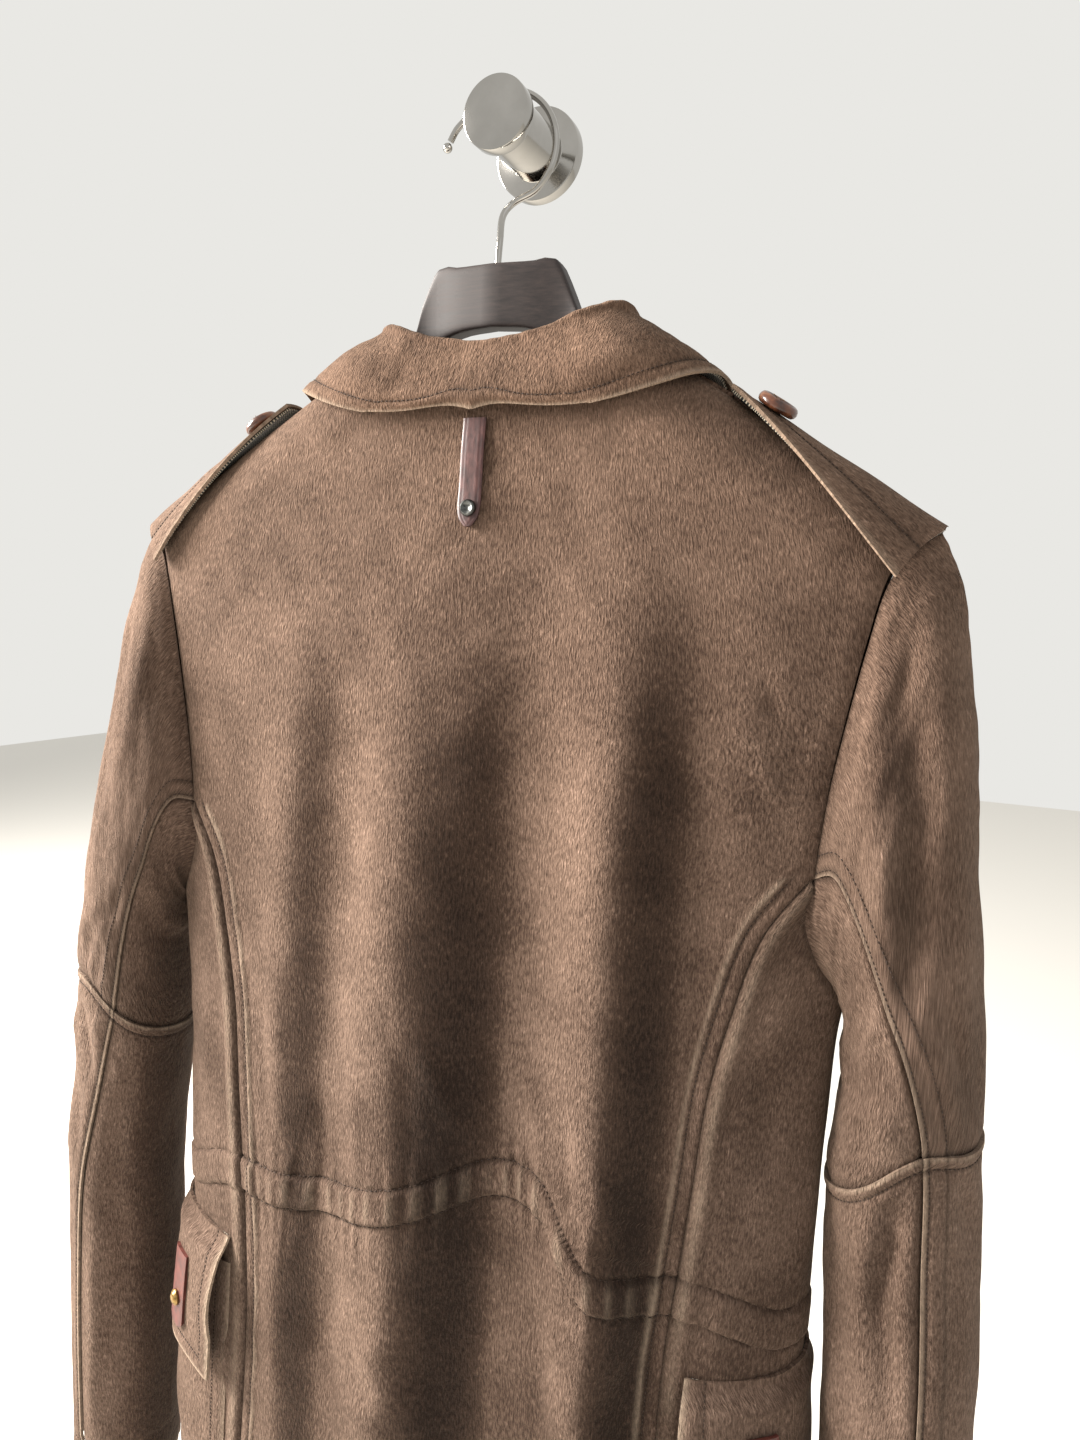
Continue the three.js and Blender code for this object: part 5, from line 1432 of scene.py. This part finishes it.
away = collar_away(collar_points)
sewn = raised(collar_points, away, relief)
collar = cloth("collar_cloth", sewn, middle_away(collar_points, away), COLLAR_SUEDE,
               looks=looks_of(relief.shape, worn, shade, tone))
declare(collar, collar_points, "collar", rests_on=("back_cloth",))
sew("collar", line_on(sewn, away, from_edge, 9.2, 0, from_end > 8), pitch=2.4)
for low in (True, False):
    end_off = np.where((turns < 0)[None, :] == low, from_end, 999)
    fall = (from_edge > 9) & (from_edge < 52)
    sew("collar", line_on(sewn, away, end_off, 9.2, 1, fall), pitch=2.4)

# The wool starts 1.5 mm inside the suede's edge and lies under the fall only.
inner = collar_points - grid_normals(collar_points, away) * (SUEDE + 0.15)
rows = int((from_edge[:, MIDDLE_COLUMN] < 46).sum())
wool_points = inner[1:rows]
wool = cloth("collar_wool", wool_points, middle_away(wool_points, away[1:rows]), WOOL_CLOTH, WOOL)
declare(wool, wool_points, "under_collar", slot="wool", rests_on=("collar_cloth",))

# %% [markdown]
# ## Epaulettes, the leather loop and pockets
#
# Each epaulette is a strap sewn into the armhole seam, lying over the shoulder and lined
# with the same wool, which shows where its back edge lifts. The loop at the neck is
# smooth leather with one rivet. The pockets are patches that bulge, under button-down
# flaps with a leather tab and a snap.

# %% Epaulettes
EPAULETTE_OFF = 4.2


def epaulette_grid(rows, columns, inset_mm):
    """Places on the epaulette by share along (neck to sleeve) and across (back to front)."""
    along = np.linspace(inset_mm / 110, 1, rows)[:, None]
    across = np.linspace(inset_mm / 40, 1 - inset_mm / 40, columns)[None, :]
    turn = mix(37, -31, across)
    end = armhole_point(1, turn)
    end_down = down_to(end[..., 0], end[..., 2]) * -np.sign(turn)
    x = mix(121.5, end[..., 0], along)
    down = mix(mix(-14, 22, across), end_down, along)
    return x, down, along + 0 * x, across + 0 * x


def epaulette(side, name):
    x, down, along, across = epaulette_grid(64, 44, 0)
    lift = 3 * (1 - across) ** 3
    rim = np.minimum(np.minimum(across, 1 - across) * 42, along * 100)
    relief = 0.5 * wobble(along * 100, across * 42, 91 + side, 30) * smoothstep(rim, 6, 14)
    relief = relief + 0.4 * hump(rim - 4, 3) - 0.55 * hump(rim - 8, 1.0)
    cut_points = off_shoulder(x, down, ON_TOP + 0.5 + lift)
    mirror = np.array((side, 1.0, 1.0))
    points = off_shoulder(x, down, ON_TOP + 0.5 + lift + relief)
    placed = points * mirror
    away = shoulder_normal(x, down) * mirror
    tone = 0.52 + 0.07 * wobble(along * 100, across * 42, 93 + side, 30)
    looks = looks_of(x.shape, 0.3 * hump(rim, 1.2), 0.5 * hump(rim - EDGE_ROW, 0.8), tone)
    strap = cloth(f"epaulette_{name}_cloth", placed, middle_away(points, away), SLEEVE_SUEDE,
                  looks=looks)
    declare(strap, cut_points, f"epaulette_{name}", rests_on=("back_cloth",), held="laid")
    for low in (True, False):
        edge_off = np.where((across < 0.5) == low, across * 42 if low else (1 - across) * 42, 999)
        sew("epaulettes", line_on(placed, away, edge_off, EDGE_ROW, 1, along > 0.08), pitch=2.4)
    inner = np.abs(across - 0.5) < 0.31
    sew("epaulettes", line_on(placed, away, along * 100, EDGE_ROW, 0, inner))
    x, down, along, across = epaulette_grid(30, 22, 1.2)
    points = off_shoulder(x, down, ON_TOP + 0.5 - 2.1 + 3 * (1 - across) ** 3)
    lining = cloth(f"epaulette_{name}_wool", points * mirror,
                   middle_away(points, shoulder_normal(x, down) * mirror), WOOL_CLOTH, WOOL)
    declare(lining, points, f"epaulette_under_{name}", slot="wool", held="laid",
            rests_on=(f"epaulette_{name}_cloth",))
    seat = frame_on(over_shoulder, EPAULETTE_OFF + 1.5, side * 141, -5, (0, 0, 1))
    button(f"epaulette_button_{name}_horn", seat, f"epaulette_button_{name}", 20 + side)


for side, name in SIDE_NAMES.items():
    epaulette(side, name)

# %% Leather loop and its rivet
LOOP_TOP, LOOP_TIP, LOOP_HALF, LOOP_OFF = -158, -212, 6.2, 2.4
loop_width = curve([0, 0.3, 0.62, 0.82, 0.93, 1], [1, 1, 1, 1, 0.78, 0.3])
share = np.concatenate((np.linspace(0, 0.8, 30)[:-1], np.linspace(0.8, 1, 16)))[:, None]
across = np.linspace(-1, 1, 20)[None, :]
x = across * LOOP_HALF * loop_width(share)
z = mix(LOOP_TOP, LOOP_TIP, share) + 0 * x
rim = LOOP_HALF * loop_width(share) - np.abs(x)
off = LOOP_OFF - 0.55 * hump(rim, 0.9) - 0.25 * hump(rim - 1.9, 0.5) + 0.5 * np.sin(share * 5) ** 2
loop_points = off_shoulder(x, -down_to(x, z), off)
loop = cloth("hang_loop_leather", loop_points, (0, -1, 0), LOOP_LEATHER, LEATHER)
finished(loop, "hang_loop", slot="loop_leather")

RIVET_PROFILE = [(0, 1.15), (1.3, 1.2), (1.7, 1.5), (2.4, 2.0), (3.2, 2.2), (3.9, 1.7), (4.3, 0.8),
                 (4.3, 0.1), (0, 0)]
seat = frame_on(over_shoulder, LOOP_OFF + 0.35, 0, float(-down_to(0, -203)), (0, -1, 0))
finished(turned_shape("loop_rivet_cap", RIVET_PROFILE, RIVET_METAL, seat, 40), "hang_loop_rivet",
         slot="rivet_metal")

# %% Pocket bags, flaps, tabs and snaps
FLAP_TOP, FLAP_HIGH, BAG_TOP, BAG_LOW = -623, 84, -640, -806
POCKET_BACK, POCKET_MIDDLE, POCKET_FRONT, BULGE, MM_DEGREE = 44, 83, 122, 10, 1.75


def bag_off(degrees, z):
    """How far the bag stands off the body at a turn and a height."""
    across = np.clip((degrees - POCKET_BACK) / (POCKET_FRONT - POCKET_BACK), 0, 1)
    down = np.clip((BAG_TOP - z) / (BAG_TOP - BAG_LOW), 0, 1)
    flat_side = 1 - 0.85 * hump(degrees - 90, 17)
    belly = np.sin(math.pi * across) ** 0.7 * np.sin(math.pi * (0.18 + 0.82 * down)) ** 0.7
    return 2.5 + BULGE * flat_side * belly


def flap_z(degrees, down):
    return FLAP_TOP + 12 * smoothstep(degrees, POCKET_BACK, POCKET_FRONT) - down * FLAP_HIGH


def flap_off(degrees, down):
    """How far the flap stands off the body; its back edge lifts by up to 12 mm."""
    lift = 12 * np.clip(1 - (degrees - POCKET_BACK) / 20, 0, 1) ** 2 * np.sin(
        math.pi * np.clip(down, 0, 0.7))
    return 4.0 + smoothstep(down, 0.02, 0.15) * bag_off(degrees, flap_z(degrees, down)) + lift


def off_ring(side, degrees, z, off):
    turn = np.radians(degrees)
    return ring_point(side, turn, z) + ring_normal(side, turn, z) * np.asarray(off)[..., None]


def pocket_grid(rows, columns, inset=0.0):
    down = np.linspace(1 - inset, inset / 2, rows)[:, None]
    inset_turn = inset * (POCKET_FRONT - POCKET_BACK)
    degrees = np.linspace(POCKET_BACK + inset_turn, POCKET_FRONT - inset_turn, columns)[None, :]
    down, degrees = np.broadcast_arrays(down, degrees)
    to_side = np.minimum(degrees - POCKET_BACK, POCKET_FRONT - degrees) * MM_DEGREE
    return down, degrees, np.minimum(to_side, (1 - down) * FLAP_HIGH)


def sew_pocket(points, away, degrees, from_low, rim, ends):
    """Stitches along the low edge of a bag or flap, then down both of its sides."""
    sew("pockets", line_on(points, away, from_low, EDGE_ROW, 0, rim > 6))
    for back in (True, False):
        own = degrees - POCKET_BACK if back else POCKET_FRONT - degrees
        edge_off = np.where((degrees < POCKET_MIDDLE) == back, own * MM_DEGREE, 999)
        sew("pockets", line_on(points, away, edge_off, EDGE_ROW, 1, ends))


def pocket(side, name):
    down, degrees, rim = pocket_grid(96, 76)
    z = mix(BAG_TOP, BAG_LOW, down)
    rim = np.minimum(rim, (1 - down) * (BAG_TOP - BAG_LOW))
    relief = 1.0 * wobble(degrees * MM_DEGREE, z, 101 + side, 45) * smoothstep(rim, 5, 16)
    relief = relief - 0.6 * hump(rim - EDGE_ROW, 1.0) + 0.3 * hump(rim - 4, 3)
    points = off_ring(side, degrees, z, bag_off(degrees, z))
    away = ring_away(side, np.radians(degrees), z)
    sewn = raised(points, away, relief)
    looks = looks_of(z.shape, 0.5 * hump(rim, 1.6), 0.3 * hump(rim - EDGE_ROW, 0.9),
                     0.5 + 0.07 * wobble(degrees, z, 103, 50))
    bag = cloth(f"pocket_{name}_bag", sewn, middle_away(points, away), BODY_SUEDE, looks=looks)
    declare(bag, points, f"pocket_{name}", rests_on=(f"side_cloth_{name}",))
    sew_pocket(sewn, away, degrees, (1 - down) * (BAG_TOP - BAG_LOW), rim, down < 0.95)

    down, degrees, rim = pocket_grid(62, 92)
    drop = down * FLAP_HIGH
    relief = 0.7 * wobble(degrees * MM_DEGREE, drop, 105 + side, 34) * smoothstep(rim, 5, 14)
    relief = relief - 0.6 * hump(rim - EDGE_ROW, 1.0) + 0.35 * hump(rim - 4, 3)
    points = off_ring(side, degrees, flap_z(degrees, down), flap_off(degrees, down))
    away = ring_away(side, np.radians(degrees), down)
    sewn = raised(points, away, relief)
    looks = looks_of(down.shape, 0.65 * hump(rim, 1.6), 0.3 * hump(rim - EDGE_ROW, 0.9),
                     0.5 + 0.07 * wobble(degrees, drop, 107, 40))
    flap = cloth(f"pocket_flap_{name}_cloth", sewn, middle_away(points, away), BODY_SUEDE,
                 looks=looks)
    declare(flap, points, f"pocket_flap_{name}", rests_on=(f"pocket_{name}_bag",))
    sew_pocket(sewn, away, degrees, (1 - down) * FLAP_HIGH, rim, down < 0.9)
    down, degrees, rim = pocket_grid(24, 40, 0.016)
    lining_points = off_ring(side, degrees, flap_z(degrees, down), flap_off(degrees, down) - 2.1)
    away = ring_away(side, np.radians(degrees), down)
    lining = cloth(f"pocket_flap_{name}_wool", lining_points, middle_away(lining_points, away),
                   WOOL_CLOTH, WOOL)
    declare(lining, lining_points, f"pocket_flap_under_{name}", slot="wool",
            rests_on=(f"pocket_flap_{name}_cloth",))

    share = np.linspace(0.84, 0.28, 40)[:, None]
    across = np.linspace(-1, 1, 16)[None, :]
    tip = np.clip(1 - (0.84 - share) / 0.05, 0, 1) ** 2
    degrees = 63 + across * (4.6 - 1.8 * tip)
    share = share + 0 * across
    off = flap_off(degrees, share) + 2.4 - 0.5 * hump(1 - np.abs(across), 0.14)
    tab_points = off_ring(side, degrees, flap_z(degrees, share), off)
    away = ring_away(side, np.radians(degrees), share)
    tab = cloth(f"pocket_tab_{name}_leather", tab_points, middle_away(tab_points, away),
                TAB_LEATHER, LEATHER)
    finished(tab, f"pocket_tab_{name}", slot="tab_leather")

    def tab_surface(turn, per_cent):
        fallen = per_cent / 100
        return off_ring(side, turn, flap_z(turn, fallen), flap_off(turn, fallen) + 2.4)

    seat = frame_on(tab_surface, 0.3, 63, 64, (side, -1, 0))
    snap = turned_shape(f"pocket_snap_{name}_brass", SNAP_PROFILE, BRASS, seat, 40)
    finished(snap, f"pocket_snap_{name}", slot="snap_metal")


SNAP_PROFILE = [(0, 3.0), (1.6, 2.9), (2.8, 2.5), (3.5, 1.8), (3.8, 1.3), (4.2, 1.4), (4.6, 1.0),
                (4.6, 0.1), (0, 0)]
for side, name in SIDE_NAMES.items():
    pocket(side, name)

# %% [markdown]
# ## Hanger, hook and peg
#
# The hanger is one bent piece of dark wood with a squared block in its middle. The wire
# hook is chromed, ends in a small ball, and hangs on a peg that is turned from bar:
# flange, neck and cap with narrow bevels that catch the light.

# %% Hanger
HANGER_X, HANGER_TOP = -6, -73.6
BLOCK = table("out top bottom half y square", [
    [0, HANGER_TOP, -106, 6.5, -10, 8], [20, HANGER_TOP, -107.5, 6.5, -8, 8],
    [34, HANGER_TOP, -113, 6.5, -6, 8], [42.5, -90, -121, 6.5, -5.6, 8],
    [51, -107, -128, 6.5, -7, 6], [62, -107, -136, 7, -11, 3]])
ARM_CLEAR = table("x z", [[45, 0], [51, 4], [58, 10.5], [72, 10], [84, 6.5], [98, 4.2], [120, 3.4],
                          [220, 3.7]])
ARM = table("out deep half", [[62, 19, 7], [105, 21, 8], [155, 23, 9], [194, 20, 9], [202, 12, 6]])


def hanger_rings():
    """Rings of points along the hanger, from its left tip to its right one."""
    outs = np.concatenate(([0], np.linspace(6, 33, 6), [34, 36, 39, 42.5, 47, 51, 56, 62],
                           np.linspace(68, 194, 26), [198, 200.5, 202]))
    rings = []
    for side, out in [(-1, o) for o in outs[:0:-1]] + [(1, o) for o in outs]:
        x = HANGER_X + side * out
        reach = smoothstep(out, 45, 62)
        under = ridge_z(x) - ARM_CLEAR.z(abs(x)) - 3 * smoothstep(out, 197, 202)
        own = under if out > 62 else BLOCK.top(out)
        top = min(own, under) if out > 45 else own
        bottom = top - ARM.deep(out) if out > 62 else BLOCK.bottom(out)
        half = ARM.half(out) if out > 62 else BLOCK.half(out)
        y = mix(BLOCK.y(min(out, 62)), ridge_y(x), reach)
        power = 2 / mix(BLOCK.square(min(out, 62)), 2, reach)
        turns = np.radians(np.arange(40) * 9 + 4.5)
        wide, high = (np.sign(part) * np.abs(part) ** power
                      for part in (np.cos(turns), np.sin(turns)))
        rings.append(points_of(x, y + half * wide, (top + bottom) / 2 + (top - bottom) / 2 * high))
    return rings


def lofted(name, rings, material):
    """A closed body from rings of points, each bridged to the next, with capped ends."""
    bm = bmesh.new()
    loops = []
    for k, ring in enumerate(rings):
        capped = k in (0, len(rings) - 1)
        made = bmesh.ops.create_circle(bm, cap_ends=capped, segments=len(ring), radius=1)
        for vert, spot in zip(made["verts"], to_room(ring)):
            vert.co = spot
        loops.append({edge for vert in made["verts"] for edge in vert.link_edges})
    for loop, after in zip(loops, loops[1:]):
        bmesh.ops.bridge_loops(bm, edges=list(loop | after))
    bmesh.ops.recalc_face_normals(bm, faces=bm.faces)
    return from_bmesh(name, bm, material, sharp=35)


finished(lofted("hanger_wood", hanger_rings(), WOOD), "hanger", slot="hanger_wood")

# %% Hook of wire, its ball, and the peg
hook_path = [(-6, -9, -73.2), (-6, -7, -60), (-6, -3.5, -46), (-1.5, -1, -39.6)]
hook_path += [(-8 + 29 * math.cos(math.radians(a)), 0, -11.7 + 29 * math.sin(math.radians(a)))
              for a in range(-52, 141, 16)]
hook_path += [(-36.5, 0, 1.5), (-40, 0, -4)]
path = through(np.array(hook_path, float)[:, None], 110)[:, 0]
wire = bpy.data.curves.new("hook_wire", "CURVE")
wire.dimensions = "3D"
wire.bevel_depth = 1.8 * MM
wire.bevel_resolution = 4
wire.use_fill_caps = True
spline = wire.splines.new("POLY")
spline.points.add(len(path) - 1)
for point, spot in zip(spline.points, to_room(path)):
    point.co = (*spot, 1)
bent = add_object("hook_wire", wire)
graph = bpy.context.evaluated_depsgraph_get()
wire_mesh = bpy.data.meshes.new_from_object(bent.evaluated_get(graph))
wire_mesh.materials.clear()
wire_mesh.materials.append(CHROME)
wire_mesh.polygons.foreach_set("use_smooth", [True] * len(wire_mesh.polygons))
bpy.data.objects.remove(bent)
finished(add_object("hook_wire", wire_mesh), "hanger_hook", slot="chrome")

BALL_PROFILE = [(2.6 * math.sin(math.radians(a)), -2.6 * math.cos(math.radians(a)))
                for a in range(0, 181, 12)]
seat = Matrix.Translation(Vector(to_room((-41.6, 0, -6.9))))
ball = turned_shape("hook_ball_chrome", BALL_PROFILE, CHROME, seat, 32)
finished(ball, "hook_ball", slot="chrome")

PEG_PROFILE = [(0, 0), (25, 0), (25, 6.2), (24.8, 6.75), (24.2, 7), (15.6, 7), (15.15, 7.3),
               (15, 7.9), (15, 50), (18.1, 50), (18.4, 50.15), (18.5, 50.6), (18.5, 57.2),
               (18.3, 57.75), (17.7, 58), (0, 58)]
out_of_wall = Matrix.Rotation(math.pi / 2, 4, "X")
peg = turned_shape("wall_peg_chrome", PEG_PROFILE, CHROME, out_of_wall, 72)
finished(peg, "wall_peg", slot="chrome")
print("hanger, hook and peg made")

# %% [markdown]
# ## All stitches
#
# The thread is a dull dark brown, a little lighter than the grooves that it lies in.

# %% Stitches made into mesh
for name in STITCH_ROWS:
    make_stitches(name, THREAD)
